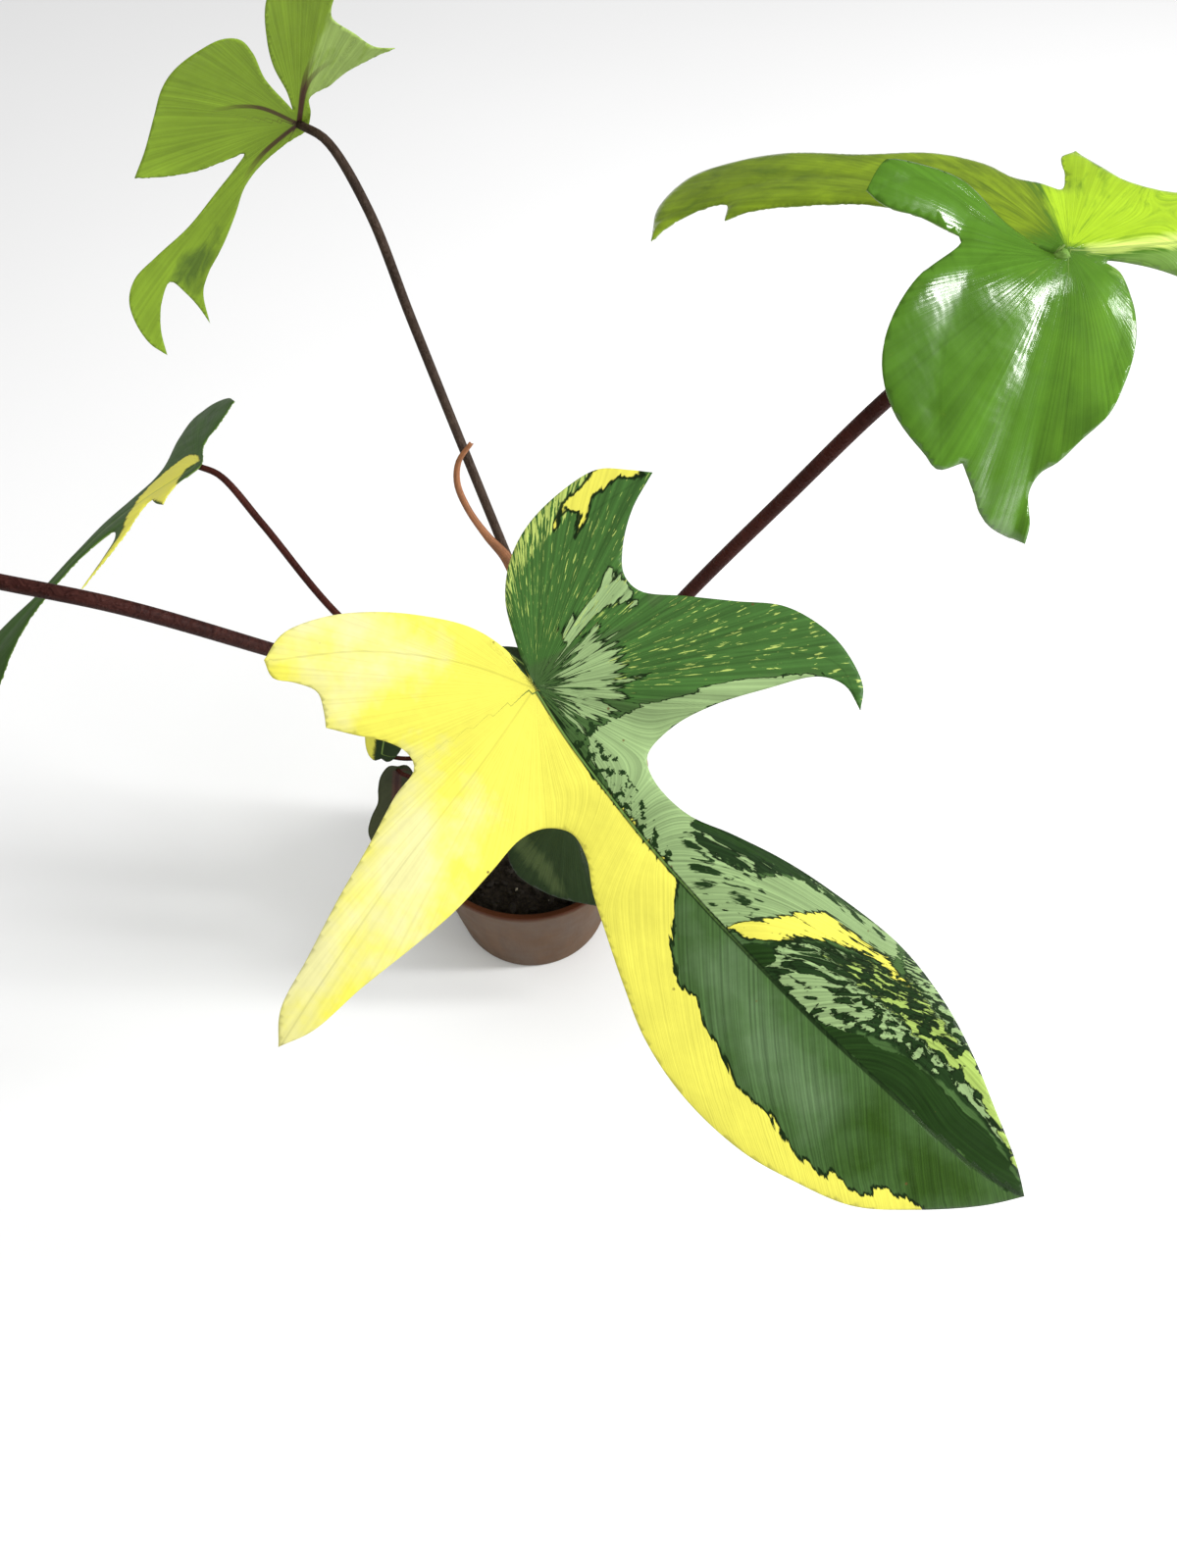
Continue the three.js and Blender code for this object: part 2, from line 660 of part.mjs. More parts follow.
function potMesh() {
  let pot = solidFrom(turned(potProfile()));
  for (let i = 0; i < DRAIN_HOLES; i += 1) {
    const angle = (2 * Math.PI * (i + 0.5)) / DRAIN_HOLES;
    const x = DRAIN_RING_RADIUS * Math.cos(angle);
    const y = DRAIN_RING_RADIUS * Math.sin(angle);
    const depth = 4 * FLOOR_THICKNESS;
    const hole = new THREE.CylinderGeometry(DRAIN_HOLE_RADIUS, DRAIN_HOLE_RADIUS, depth, DRAIN_HOLE_SIDES)
      .rotateX(Math.PI / 2)
      .translate(x, y, FLOOR_THICKNESS / 2);
    pot = pot.subtract(solidFrom(hole));
  }
  return namedMesh("pot", geometryFrom(pot), COLOURS.pot, ROUGHNESS.pot);
}

// Height of the soil's lumps over its mean level
function soilLump(x, y) {
  let height = 0;
  for (const { alongX, alongY, phase, share } of SOIL_WAVES) {
    height += SOIL_LUMP_HEIGHT * share * Math.sin(alongX * x + alongY * y + phase);
  }
  return height;
}

function soilMesh() {
  const top = POT_HEIGHT - SOIL_DEPTH_BELOW_LIP;
  const slope = (POT_LIP_RADIUS - LIP_OVERHANG - POT_FOOT_RADIUS) / (POT_HEIGHT - LIP_HEIGHT);
  const bottom = FLOOR_THICKNESS + GAP;
  const insideRadius = (z) => POT_FOOT_RADIUS - POT_WALL + slope * (z - FLOOR_THICKNESS) - 2 * GAP;
  const shoulder = top - SOIL_SHOULDER;
  const topRadius = insideRadius(shoulder);
  const profile = [[0, bottom], [insideRadius(bottom), bottom], [topRadius, shoulder]];
  for (let ring = SOIL_RINGS; ring >= 0; ring -= 1) {
    profile.push([(topRadius * ring) / SOIL_RINGS, top]);
  }
  const geometry = turned(profile.map(([r, z]) => new THREE.Vector2(r, z)));
  const position = geometry.attributes.position;
  for (let i = 0; i < position.count; i += 1) {
    if (position.getZ(i) > shoulder + GAP) {
      position.setZ(i, top + soilLump(position.getX(i), position.getY(i)));
    }
  }
  const [[footX, footY, footZ], ...rest] = STEM_LINE;
  const holeLine = [[footX, footY, footZ - GAP], ...rest];
  const hole = solidFrom(rod(holeLine, STEM_RADIUS + GAP, STEM_SIDES, STEM_STEPS));
  const solid = solidFrom(geometry).subtract(hole);
  return namedMesh("soil", geometryFrom(solid), COLOURS.soil, ROUGHNESS.soil);
}

// A thin, tapering strip with a slightly hollow face, along a smooth line.
function sheathGeometry({ line, halfWidth }) {
  const hollow = SHEATH_HOLLOW * halfWidth;
  const section = new THREE.Shape();
  section.moveTo(-halfWidth, 0);
  section.quadraticCurveTo(0, hollow, halfWidth, 0);
  section.lineTo(halfWidth, SHEATH_THICKNESS);
  section.quadraticCurveTo(0, hollow + SHEATH_THICKNESS, -halfWidth, SHEATH_THICKNESS);
  section.closePath();
  const path = new THREE.CatmullRomCurve3(line.map(vector));
  const options = {
    steps: SHEATH_STEPS,
    extrudePath: path,
    curveSegments: SHEATH_CURVE_STEPS,
    bevelEnabled: false,
  };
  const geometry = new THREE.ExtrudeGeometry(section, options);
  const position = geometry.attributes.position;
  const centres = path.getSpacedPoints(SHEATH_STEPS);
  for (let i = 0; i < position.count; i += 1) {
    const point = new THREE.Vector3().fromBufferAttribute(position, i);
    const nearest = centres.reduce((a, b) => (a.distanceTo(point) < b.distanceTo(point) ? a : b));
    const along = centres.indexOf(nearest) / SHEATH_STEPS;
    point.lerp(nearest, SHEATH_TAPER * along ** 2);
    position.setXYZ(i, ...point);
  }
  return geometry;
}

// A petiole ends on the stem's surface and under its own blade, a hair's breadth from each.
function leafMeshes(leaf, stemClearance) {
  const flat = triangulateBlade(leaf);
  const half = BLADE_THICKNESS / 2;
  const blade = bladeGeometry(leaf, flat, half, half);
  const cutter = bladeGeometry(leaf, flat, half + GAP, BLADE_CUT_DEPTH);
  const line = [...leaf.petioleLine, leaf.attach];
  const petiole = solidFrom(rod(line, leaf.petioleRadius, PETIOLE_SIDES, PETIOLE_STEPS))
    .subtract(stemClearance)
    .subtract(solidFrom(cutter));
  return [
    namedMesh(`${leaf.name}_petiole`, geometryFrom(petiole), leaf.petioleColour, ROUGHNESS.petiole),
    namedMesh(`${leaf.name}_blade`, blade, leaf.colour, ROUGHNESS.blade),
  ];
}

const plant = new THREE.Group();
const stemClearance = solidFrom(rod(STEM_LINE, STEM_RADIUS + GAP, STEM_SIDES, STEM_STEPS));
plant.add(potMesh());
plant.add(soilMesh());
const stem = rod(STEM_LINE, STEM_RADIUS, STEM_SIDES, STEM_STEPS);
plant.add(namedMesh("stem", stem, COLOURS.stem, ROUGHNESS.stem));
for (const leaf of LEAVES) {
  plant.add(...leafMeshes(leaf, stemClearance));
}
for (const sheath of SHEATHS) {
  const solid = solidFrom(sheathGeometry(sheath)).subtract(stemClearance);
  plant.add(namedMesh(sheath.name, geometryFrom(solid), COLOURS.drySheath, ROUGHNESS.drySheath));
}

export default plant;
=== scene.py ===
# Looks of a potted climbing aroid with deeply lobed, variegated leaves.
# Metres, +Z up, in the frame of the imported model. A blade is drawn flat, cut into small cells and
# then bent along rays from the point where its petiole is attached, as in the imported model.

import math
import random
from contextlib import contextmanager

import bpy
import numpy as np
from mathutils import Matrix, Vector


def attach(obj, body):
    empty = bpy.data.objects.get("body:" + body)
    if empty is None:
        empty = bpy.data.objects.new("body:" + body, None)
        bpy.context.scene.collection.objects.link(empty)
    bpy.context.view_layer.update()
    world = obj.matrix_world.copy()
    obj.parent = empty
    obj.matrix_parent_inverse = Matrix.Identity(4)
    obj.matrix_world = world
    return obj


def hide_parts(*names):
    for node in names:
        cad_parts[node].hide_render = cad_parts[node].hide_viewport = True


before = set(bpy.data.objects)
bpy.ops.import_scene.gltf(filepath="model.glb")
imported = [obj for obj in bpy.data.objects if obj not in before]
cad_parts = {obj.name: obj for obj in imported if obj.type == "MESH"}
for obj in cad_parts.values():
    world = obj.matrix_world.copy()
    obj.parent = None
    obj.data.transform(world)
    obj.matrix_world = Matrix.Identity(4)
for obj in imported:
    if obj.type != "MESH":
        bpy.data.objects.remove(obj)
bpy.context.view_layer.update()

# Camera, as it stood for the photograph: a wide view, looking down over the plant
CAMERA_PLACE = (0.0344, -0.339, 0.655)
CAMERA_PITCH = 57.0
CAMERA_NEAREST = 0.01
SENSOR = 36.0
PHOTO_LONG_SIDE = 1599
FOCAL_PIXELS = 1200

# Floor and light. A light is (place, target, width, height, watts, whether gloss mirrors it).
FLOOR_SIZE = 12.0
FLOOR_HEIGHT = -0.0002
WORLD_STRENGTH = 0.5
MIRRORED_STRENGTH = 0.12
LIGHTS = {
    "key_light": ((1.6, -0.1, 1.05), (0.1, 0, 0.35), 0.12, 1.4, 32, True),
    "overhead_light": ((0.4, -0.5, 2.2), (0, 0, 0.1), 2.2, 2.2, 36, False),
}

# Shape of the blades
BLADE_THICKNESS = 0.0006
CELL = 0.0016
CELL_START = 0.37
EDGE_STEP = 0.0016
CURVE_STEPS = 24
LINE_STEPS = 40
SHORTEST_STEP = 1e-9
BEND_STEPS = 16
ATTACH_FLAT_RADIUS = 0.012
NORMAL_PROBE = 0.0005
VEIN_ROUNDING = 0.0006
DEEPEST_SHARE = 1.25
EDGE_ROLL = 0.0005
EDGE_ROLL_WIDTH = 0.0016

# Pot
POT_HEIGHT = 0.094
POT_LIP_RADIUS = 0.06
POT_FOOT_RADIUS = 0.045
POT_WALL = 0.0016
POT_SIDES = 128
POT_WELD = 1e-5
POT_SMOOTH_ANGLE = 35
LIP_HEIGHT = 0.005
LIP_OVERHANG = 0.0014
LIP_ROUNDING = 0.001
FOOT_RING_WIDTH = 0.006
FOOT_RECESS = 0.0008
FOOT_ROUNDING = 0.002
FLOOR_THICKNESS = 0.002
DRAIN_HOLES = 8
DRAIN_HOLE_RADIUS = 0.004
DRAIN_RING_RADIUS = 0.028

# Soil, and the crumbs and grains on it. A wave is (its speed along x and y, its phase, its height).
SOIL_TOP = 0.084
SOIL_RADIUS = 0.0555
SOIL_SIDES = 96
SOIL_CELL = 0.002
SOIL_SETTLED = 0.0015
SOIL_RIM_POWER = 8
SOIL_FOOT_SHARE = 0.76
SOIL_OVER_FLOOR = 0.0005
SOIL_WAVES = [(310, 120, 1.1, 0.0006), (130, -410, 2.0, 0.0006), (-620, 330, 0.4, 0.0004),
              (900, 1150, 3.0, 0.0003), (-1500, 700, 1.7, 0.0002)]
CHIP_SHAPES = 6
CHIP_RING = 0.0535
CHIP_UNEVENNESS = 0.3
CHIP_WIDTH = 0.6
CHIP_LIFT = 0.4
CHIP_TILT = 0.6
CHIP_TURN = 6.3
CHIP_GROWTH = (0.5, 1.3)

# Stem, petioles and sheaths
ROD_SIDES = 24
ROD_WELD = 1e-6
ALONG_STEPS = 60
STEM_LINE = [(0, 0, 0.048), (0.002, 0, 0.086), (0.009, 0.001, 0.122), (0.019, 0.001, 0.162),
             (0.027, 0.001, 0.198)]
STEM_RADIUS = 0.0065
STEM_STEPS = 60
STEM_WAIST = 0.86
STEM_RINGS = (0.1, 0.26, 0.42, 0.58, 0.72, 0.86, 0.97)
STEM_RING_WIDTH = 0.022
STEM_TIP_SHARE = 0.8
PETIOLE_STEPS = 90
PETIOLE_SHAPE = (1.1, 1.05, 1.03, 1.02, 1.01, 1.0, 1.0, 1.0, 0.98, 0.8)
PETIOLE_END_BELOW = 0.0005
SHEATH_ACROSS = 10
SHEATH_STEPS = 80
SHEATH_BACK = (0.3, -1, 0.2)
SHEATH_TAPER = 0.62
SHEATH_WAVE = 0.12
SHEATH_WAVE_TURN = 23
SHEATH_CURL = 1.1
SHEATH_CURL_CHANGE = 0.5
SHEATH_CURL_TURN = 9
SHEATH_THICKNESS = 0.0005

# Course of the fine veins, which fan out from the attachment and then leave the midrib
FLOW_BLEND = 0.01
TIP_ANGLE = 0.52
TIP_ANGLE_BLEND = 0.2
RADIAL_REACH = 0.06
LEFT_SLANT = 0.8
LEFT_CURVE = 1500
RIGHT_SLANT = 1.1
RIGHT_CURVE = 150
ALONG_MIDRIB_FROM = 0.13
ALONG_MIDRIB_TO = 0.2
ALONG_MIDRIB_START = 0.165
OFF_VEIN = 0.004

# Noises of the finishes: scales in turns per metre, stretches along and across, depths in metres
NOISE_MIDDLE = (0.3, 0.7)
NOISE_SPREAD = (0.27, 0.73)
STREAK_STRETCHES = {"broad": (70, 240, 1), "fine": (170, 1300, 1)}
STREAK_DISTORTION = 0.45
BROAD_STRETCH = (25, 200, 1)
LINE_STRETCH = (10, 900, 1)
FLECK_STRETCH = (240, 2.5, 1)
CRACK_STRETCH = (60, 7, 1)
FIBRE_STRETCH = (1500, 4, 1)
POT_STREAK_STRETCH = (160, 160, 9)
SCUFF_STRETCH = (900, 900, 120)
CLOUD_SCALE = 45
SPECK_SCALE = 330
DOT_SCALE = 90
DIMPLE_SCALE = 120
ROUGH_SCALE = 90
WART_SCALE = 620
CRUMB_SCALE = 420
GRAIN_SCALE = 350
LINE_DEPTH = 0.00012
DIMPLE_DEPTH = 0.0003
WART_DEPTH = 0.0003
FLECK_DEPTH = 0.0002
CRACK_DEPTH = 0.0012
FIBRE_DEPTH = 0.0004
SCUFF_DEPTH = 0.0001
CRUMB_DEPTH = 0.0025
GRAIN_DEPTH = 0.001

# Shades and edges of the blades' finishes, as shares
PAINT_NONE = -0.4
OUTLINE_SOFTNESS = 0.65
OUTLINE_STRENGTH = 0.95
BROAD_SHADE = 0.84
DOT_EDGE = (0.035, 0.055)
DOT_STRENGTH = 0.8
DOT_PATCH_EDGE = (0.46, 0.5)
SIDE_VEIN_SHADE = 0.82
VEIN_FADE_START = 0.5
VEIN_EDGE_START = 0.6
CORE_FADE = (0.15, 0.4)
CORE_EDGE = (0.2, 0.45)
LIGHT_LINE_SHARE = 0.4
CALM_LINES = (0.9, 1.05)
CLOUD_BRIGHTNESS = (0.92, 1.08)
SMOOTHER = 0.04
ROUGHER = 0.07

# Plan outlines. x runs along the midrib and y to its left, seen from above. Edges meet in corners.
LEAF_1_OUTLINE = [
    [(-0.004, 0.001), (-0.015, 0.002), (-0.028, -0.001), (-0.042, -0.01), (-0.054, -0.021),
     (-0.063, -0.033), (-0.068, -0.046), (-0.066, -0.056)],
    [(-0.066, -0.056), (-0.06, -0.058), (-0.054, -0.054), (-0.047, -0.051), (-0.041, -0.054),
     (-0.037, -0.057)],
    [(-0.037, -0.057), (-0.029, -0.052), (-0.02, -0.046), (-0.013, -0.044), (-0.008, -0.046),
     (-0.006, -0.056), (-0.001, -0.071), (0.005, -0.091), (0.012, -0.112), (0.018, -0.13),
     (0.026, -0.139)],
    [(0.026, -0.139), (0.03, -0.127), (0.031, -0.106), (0.033, -0.085), (0.034, -0.068),
     (0.033, -0.051), (0.032, -0.037), (0.035, -0.029), (0.042, -0.024), (0.051, -0.026),
     (0.06, -0.032), (0.072, -0.038), (0.089, -0.046), (0.106, -0.053), (0.128, -0.057),
     (0.154, -0.056), (0.173, -0.051), (0.194, -0.043), (0.21, -0.03), (0.227, -0.013), (0.237, 0)],
    [(0.237, 0), (0.224, 0.006), (0.204, 0.013), (0.184, 0.02), (0.164, 0.025), (0.141, 0.027),
     (0.112, 0.023), (0.095, 0.019), (0.078, 0.013), (0.063, 0.007), (0.048, 0.007),
     (0.041, 0.011), (0.04, 0.023), (0.044, 0.037), (0.052, 0.053), (0.061, 0.068), (0.069, 0.072),
     (0.078, 0.07)],
    [(0.078, 0.07), (0.073, 0.076), (0.061, 0.08), (0.05, 0.08), (0.037, 0.076), (0.025, 0.066),
     (0.013, 0.056), (0.001, 0.046), (-0.006, 0.046), (-0.012, 0.051), (-0.019, 0.062),
     (-0.023, 0.075)],
    [(-0.023, 0.075), (-0.029, 0.07), (-0.036, 0.063), (-0.039, 0.051), (-0.039, 0.035),
     (-0.035, 0.023), (-0.027, 0.013), (-0.015, 0.006), (-0.004, 0.001)],
]

LEAF_2_OUTLINE = [
    [(-0.001, -0.001), (-0.008, -0.001), (-0.02, -0.002), (-0.036, -0.003), (-0.048, -0.011),
     (-0.056, -0.02), (-0.057, -0.028)],
    [(-0.057, -0.028), (-0.05, -0.026), (-0.042, -0.022), (-0.033, -0.018), (-0.028, -0.016),
     (-0.037, -0.029), (-0.045, -0.046), (-0.046, -0.053), (-0.044, -0.058), (-0.038, -0.063),
     (-0.033, -0.067), (-0.026, -0.064)],
    [(-0.026, -0.064), (-0.02, -0.073), (-0.015, -0.08), (-0.005, -0.085), (0.002, -0.087)],
    [(0.002, -0.087), (0.002, -0.081), (-0.001, -0.071), (0.001, -0.065), (0.006, -0.061),
     (0.011, -0.054), (0.016, -0.047), (0.018, -0.039), (0.019, -0.029), (0.018, -0.018),
     (0.015, -0.008), (0.011, -0.004), (0.02, -0.006), (0.031, -0.01), (0.045, -0.017),
     (0.065, -0.025), (0.09, -0.03), (0.115, -0.027), (0.142, -0.015), (0.165, 0)],
    [(0.165, 0), (0.155, 0.009), (0.135, 0.022), (0.11, 0.031), (0.085, 0.033), (0.06, 0.029),
     (0.044, 0.026), (0.034, 0.031), (0.032, 0.041), (0.032, 0.053)],
    [(0.032, 0.053), (0.026, 0.05), (0.02, 0.038), (0.014, 0.03), (0.009, 0.034), (0.003, 0.038),
     (-0.001, 0.048), (-0.012, 0.061), (-0.031, 0.073), (-0.048, 0.094), (-0.061, 0.106),
     (-0.076, 0.115), (-0.091, 0.108), (-0.102, 0.086)],
    [(-0.102, 0.086), (-0.094, 0.088), (-0.082, 0.085), (-0.076, 0.079), (-0.08, 0.07)],
    [(-0.08, 0.07), (-0.072, 0.067), (-0.058, 0.056), (-0.042, 0.043), (-0.026, 0.025),
     (-0.012, 0.009), (-0.003, 0.001), (-0.001, -0.001)],
]

LEAF_3_OUTLINE = [
    [(-0.005, 0.005), (-0.014, 0.021), (-0.024, 0.031), (-0.028, 0.038), (-0.026, 0.044),
     (-0.018, 0.05), (-0.006, 0.055), (0.004, 0.056), (0.018, 0.054), (0.034, 0.052),
     (0.047, 0.052)],
    [(0.047, 0.052), (0.044, 0.043), (0.037, 0.03), (0.028, 0.02), (0.022, 0.014), (0.03, 0.015),
     (0.042, 0.018), (0.062, 0.024), (0.079, 0.033), (0.091, 0.039), (0.101, 0.039), (0.11, 0.034),
     (0.118, 0.025), (0.121, 0.016)],
    [(0.121, 0.016), (0.11, 0.022), (0.097, 0.025), (0.088, 0.024), (0.091, 0.016), (0.095, 0.009),
     (0.101, 0.001)],
    [(0.101, 0.001), (0.089, 0.008), (0.081, 0.009), (0.064, 0.007), (0.05, 0.007), (0.036, 0.008),
     (0.022, 0.005), (0.01, 0), (0.001, -0.004), (-0.007, -0.002), (-0.014, 0.002),
     (-0.023, -0.002), (-0.034, -0.005), (-0.045, -0.01), (-0.053, -0.014)],
    [(-0.053, -0.014), (-0.049, -0.007), (-0.05, 0.002), (-0.052, 0.012), (-0.057, 0.015),
     (-0.07, 0.018), (-0.084, 0.023), (-0.096, 0.032)],
    [(-0.096, 0.032), (-0.084, 0.036), (-0.066, 0.039), (-0.048, 0.037), (-0.032, 0.029),
     (-0.021, 0.021), (-0.012, 0.011), (-0.005, 0.005)],
]

LEAF_4_OUTLINE = [
    [(-0.004, 0), (-0.014, -0.022), (-0.028, -0.031), (-0.046, -0.048)],
    [(-0.046, -0.048), (-0.048, -0.066), (-0.042, -0.084), (-0.032, -0.088), (-0.014, -0.069),
     (0.01, -0.036), (0.031, -0.027), (0.05, -0.019), (0.07, -0.004), (0.088, 0.006), (0.1, 0.011),
     (0.116, 0.012), (0.136, 0.016), (0.152, 0.03), (0.158, 0.048), (0.156, 0.064)],
    [(0.156, 0.064), (0.146, 0.066), (0.136, 0.06), (0.125, 0.046), (0.111, 0.032), (0.092, 0.02),
     (0.076, 0.012), (0.062, 0.008), (0.053, 0.009), (0.055, 0.019), (0.066, 0.031), (0.084, 0.045)],
    [(0.084, 0.045), (0.072, 0.039), (0.059, 0.031), (0.049, 0.023), (0.04, 0.012), (0.033, 0.004),
     (0.028, 0.002)],
    [(0.028, 0.002), (0.029, 0.012), (0.028, 0.022)],
    [(0.028, 0.022), (0.021, 0.012), (0.015, 0.007), (0.007, 0.006), (0, 0.006), (-0.004, 0)],
]

LEAF_7_OUTLINE = [
    [(-0.004, 0), (-0.005, 0.008), (0.003, 0.018), (0.018, 0.024), (0.04, 0.024), (0.064, 0.018),
     (0.086, 0.009), (0.1, 0)],
    [(0.1, 0), (0.094, -0.004), (0.08, -0.012), (0.06, -0.024), (0.04, -0.035), (0.02, -0.043),
     (0, -0.044), (-0.011, -0.035), (-0.013, -0.02), (-0.008, -0.008), (-0.004, 0)],
]

# Bends of a blade, each at a ray of the plan: its angle, how far it turns sideways, and how far it
# turns down near the attachment (dip) and by its far end (droop), in degrees
EVEN_BENDS = [
    (-180, 0, 4, 16),
    (-100, 0, 5, 20),
    (0, 0, 2, 26),
    (100, 0, 5, 20),
    (180, 0, 4, 16),
]

LEAF_1_BENDS = [
    (-180, 0, -4, 8),
    (-139, 0, -9, 20),
    (-110, 0, -5, 12),
    (-79, 0, -11, 26),
    (-40, 0, -4, 12),
    (0, 0, -11, 26),
    (25, 0, -4, 12),
    (42, 0, -9, 24),
    (75, 0, -4, 12),
    (107, 0, -9, 22),
    (180, 0, -4, 8),
]

LEAF_2_BENDS = [
    (-178, -34, -24, 8),
    (-160, -36, -22, 8),
    (-142, -22, -8, 10),
    (-120, -8, 20, 20),
    (-92, -3, 46, 26),
    (-40, 8, 18, 16),
    (0, 0, -12, 30),
    (30, 5, 0, 16),
    (65, 13, 6, 22),
    (140, 16, 0, 44),
    (180, 12, -2, 20),
]

LEAF_3_BENDS = [
    (-180, 0, 4, 10),
    (-60, 0, 6, 14),
    (0, 0, 4, 30),
    (60, 0, 6, 14),
    (110, 0, 6, 20),
    (180, 0, 4, 10),
]

LEAF_4_BENDS = [
    (-180, 0, -6, 10),
    (-60, 0, -4, 16),
    (0, 0, -8, 16),
    (60, 0, -4, 16),
    (180, 0, -6, 10),
]

# Half of a five-lobed blade, of a young blade with a waist and of an oval one, in parts of the length
FIVE_LOBED_HALF = [
    [(-0.02, 0), (-0.09, 0.05), (-0.17, 0.14), (-0.21, 0.26), (-0.18, 0.36)],
    [(-0.18, 0.36), (-0.11, 0.3), (-0.03, 0.25), (0.03, 0.28), (0.11, 0.38), (0.2, 0.47), (0.28, 0.52)],
    [(0.28, 0.52), (0.25, 0.38), (0.2, 0.25), (0.18, 0.14), (0.24, 0.1), (0.36, 0.15), (0.5, 0.2),
     (0.66, 0.22), (0.82, 0.17), (0.94, 0.07), (1, 0)],
]
WAISTED_HALF = [
    [(-0.04, 0), (-0.05, 0.1), (0.05, 0.19), (0.2, 0.22), (0.35, 0.22), (0.5, 0.3), (0.65, 0.34),
     (0.8, 0.27), (0.93, 0.12), (1, 0)],
]
OVAL_HALF = [
    [(-0.04, 0), (-0.07, 0.1), (-0.02, 0.2), (0.12, 0.29), (0.3, 0.32), (0.55, 0.26), (0.8, 0.14),
     (1, 0)],
]

# Main veins and coloured zones of the blades, in their plans
LEAF_1_MIDRIB = [
    (0, 0), (0.02, -0.004), (0.04, -0.0065), (0.06, -0.0085), (0.08, -0.0095), (0.1, -0.01),
    (0.14, -0.01), (0.17, -0.0085), (0.2, -0.007), (0.22, -0.0045), (0.237, 0)
]
LEAF_1_LEFT_HIND_VEIN = [(0, 0), (-0.02, -0.01), (-0.045, -0.03), (-0.064, -0.054)]
LEAF_1_LEFT_SIDE_VEIN = [(0, 0), (0.006, -0.03), (0.012, -0.07), (0.02, -0.11), (0.026, -0.137)]
LEAF_1_RIGHT_SIDE_VEIN = [
    (0, 0), (0.014, 0.02), (0.028, 0.043), (0.045, 0.063), (0.062, 0.075), (0.076, 0.071)
]
LEAF_1_TOP_HIND_VEIN = [(0, 0), (-0.012, 0.012), (-0.022, 0.03), (-0.027, 0.05), (-0.024, 0.072)]
LEAF_2_MIDRIB = [(0, 0), (0.03, 0.001), (0.06, 0.002), (0.1, 0.002), (0.14, 0.001), (0.165, 0)]
LEAF_2_NEAR_SIDE_VEINS = [
    [(0, 0), (-0.004, -0.004), (-0.015, -0.009), (-0.024, -0.02), (-0.03, -0.035), (-0.033, -0.05),
     (-0.033, -0.065)],
    [(0, 0), (-0.003, -0.008), (-0.007, -0.025), (-0.009, -0.035), (-0.013, -0.05),
     (-0.017, -0.065), (-0.017, -0.075)],
    [(0, 0), (0.002, -0.012), (0.004, -0.025), (0.004, -0.04), (0.006, -0.055)],
    [(0, 0), (0.006, -0.003), (0.012, -0.01), (0.015, -0.022), (0.014, -0.038)],
]
LEAF_2_HIND_VEINS = [
    [(0, 0), (-0.012, -0.001), (-0.025, -0.004), (-0.04, -0.012), (-0.054, -0.025)],
    [(0, 0), (-0.01, -0.003), (-0.02, -0.007), (-0.028, -0.012)],
]
LEAF_2_FAR_SIDE_VEIN = [(0, 0), (0.01, 0.02), (0.03, 0.05)]
LEAF_2_FAR_HIND_VEIN = [(0, 0), (-0.02, 0.03), (-0.055, 0.075), (-0.095, 0.095)]
LEAF_3_TIP_VEIN = [
    (0, 0), (0.022, 0.008), (0.045, 0.011), (0.07, 0.018), (0.1, 0.028), (0.119, 0.017)
]
LEAF_3_LEFT_VEIN = [(0, 0), (0, 0.02), (0.012, 0.038), (0.03, 0.045), (0.045, 0.05)]
LEAF_3_HIND_VEIN = [(0, 0), (-0.022, 0.008), (-0.042, 0.012), (-0.06, 0.026), (-0.094, 0.032)]
LEAF_3_LOW_HIND_VEIN = [(0, 0), (-0.022, 0.006), (-0.04, 0), (-0.052, -0.012)]
LEAF_4_MIDRIB = [
    (0, 0), (0.02, -0.006), (0.045, -0.006), (0.07, 0.004), (0.1, 0.017), (0.125, 0.028),
    (0.148, 0.046), (0.155, 0.062)
]
LEAF_4_HIND_VEIN = [(0, 0), (-0.014, -0.03), (-0.028, -0.055), (-0.036, -0.084)]
LEAF_4_THIN_VEIN = [(0, 0), (0.025, -0.001), (0.045, 0.014), (0.062, 0.029), (0.083, 0.044)]
LEAF_1_YELLOW = [
    (0, 0), (0.02, -0.004), (0.04, -0.0065), (0.06, -0.0085), (0.077, -0.0095), (0.077, -0.0105),
    (0.08, -0.015), (0.084, -0.02), (0.088, -0.024), (0.093, -0.029), (0.097, -0.031),
    (0.101, -0.033), (0.107, -0.032), (0.112, -0.034), (0.118, -0.037), (0.124, -0.037),
    (0.131, -0.04), (0.138, -0.042), (0.146, -0.042), (0.152, -0.041), (0.158, -0.043),
    (0.168, -0.044), (0.178, -0.043), (0.182, -0.043), (0.179, -0.039), (0.186, -0.04),
    (0.192, -0.039), (0.196, -0.036), (0.193, -0.034), (0.198, -0.031), (0.205, -0.029),
    (0.214, -0.027), (0.225, -0.04), (0.19, -0.08), (0.1, -0.08), (0.03, -0.16), (-0.1, -0.1),
    (-0.09, 0), (-0.04, 0.006), (-0.01, 0.002)
]
LEAF_1_MINT_ROOT = [
    (0.022, 0.003), (0.028, -0.003), (0.045, -0.006), (0.06, -0.009), (0.07, -0.01),
    (0.072, -0.004), (0.067, 0), (0.066, 0.008), (0.055, 0.009), (0.044, 0.009), (0.041, 0.014),
    (0.04, 0.023), (0.044, 0.037), (0.052, 0.053), (0.061, 0.068), (0.066, 0.073), (0.06, 0.07),
    (0.054, 0.062), (0.047, 0.053), (0.04, 0.043), (0.034, 0.031), (0.028, 0.021), (0.024, 0.008)
]
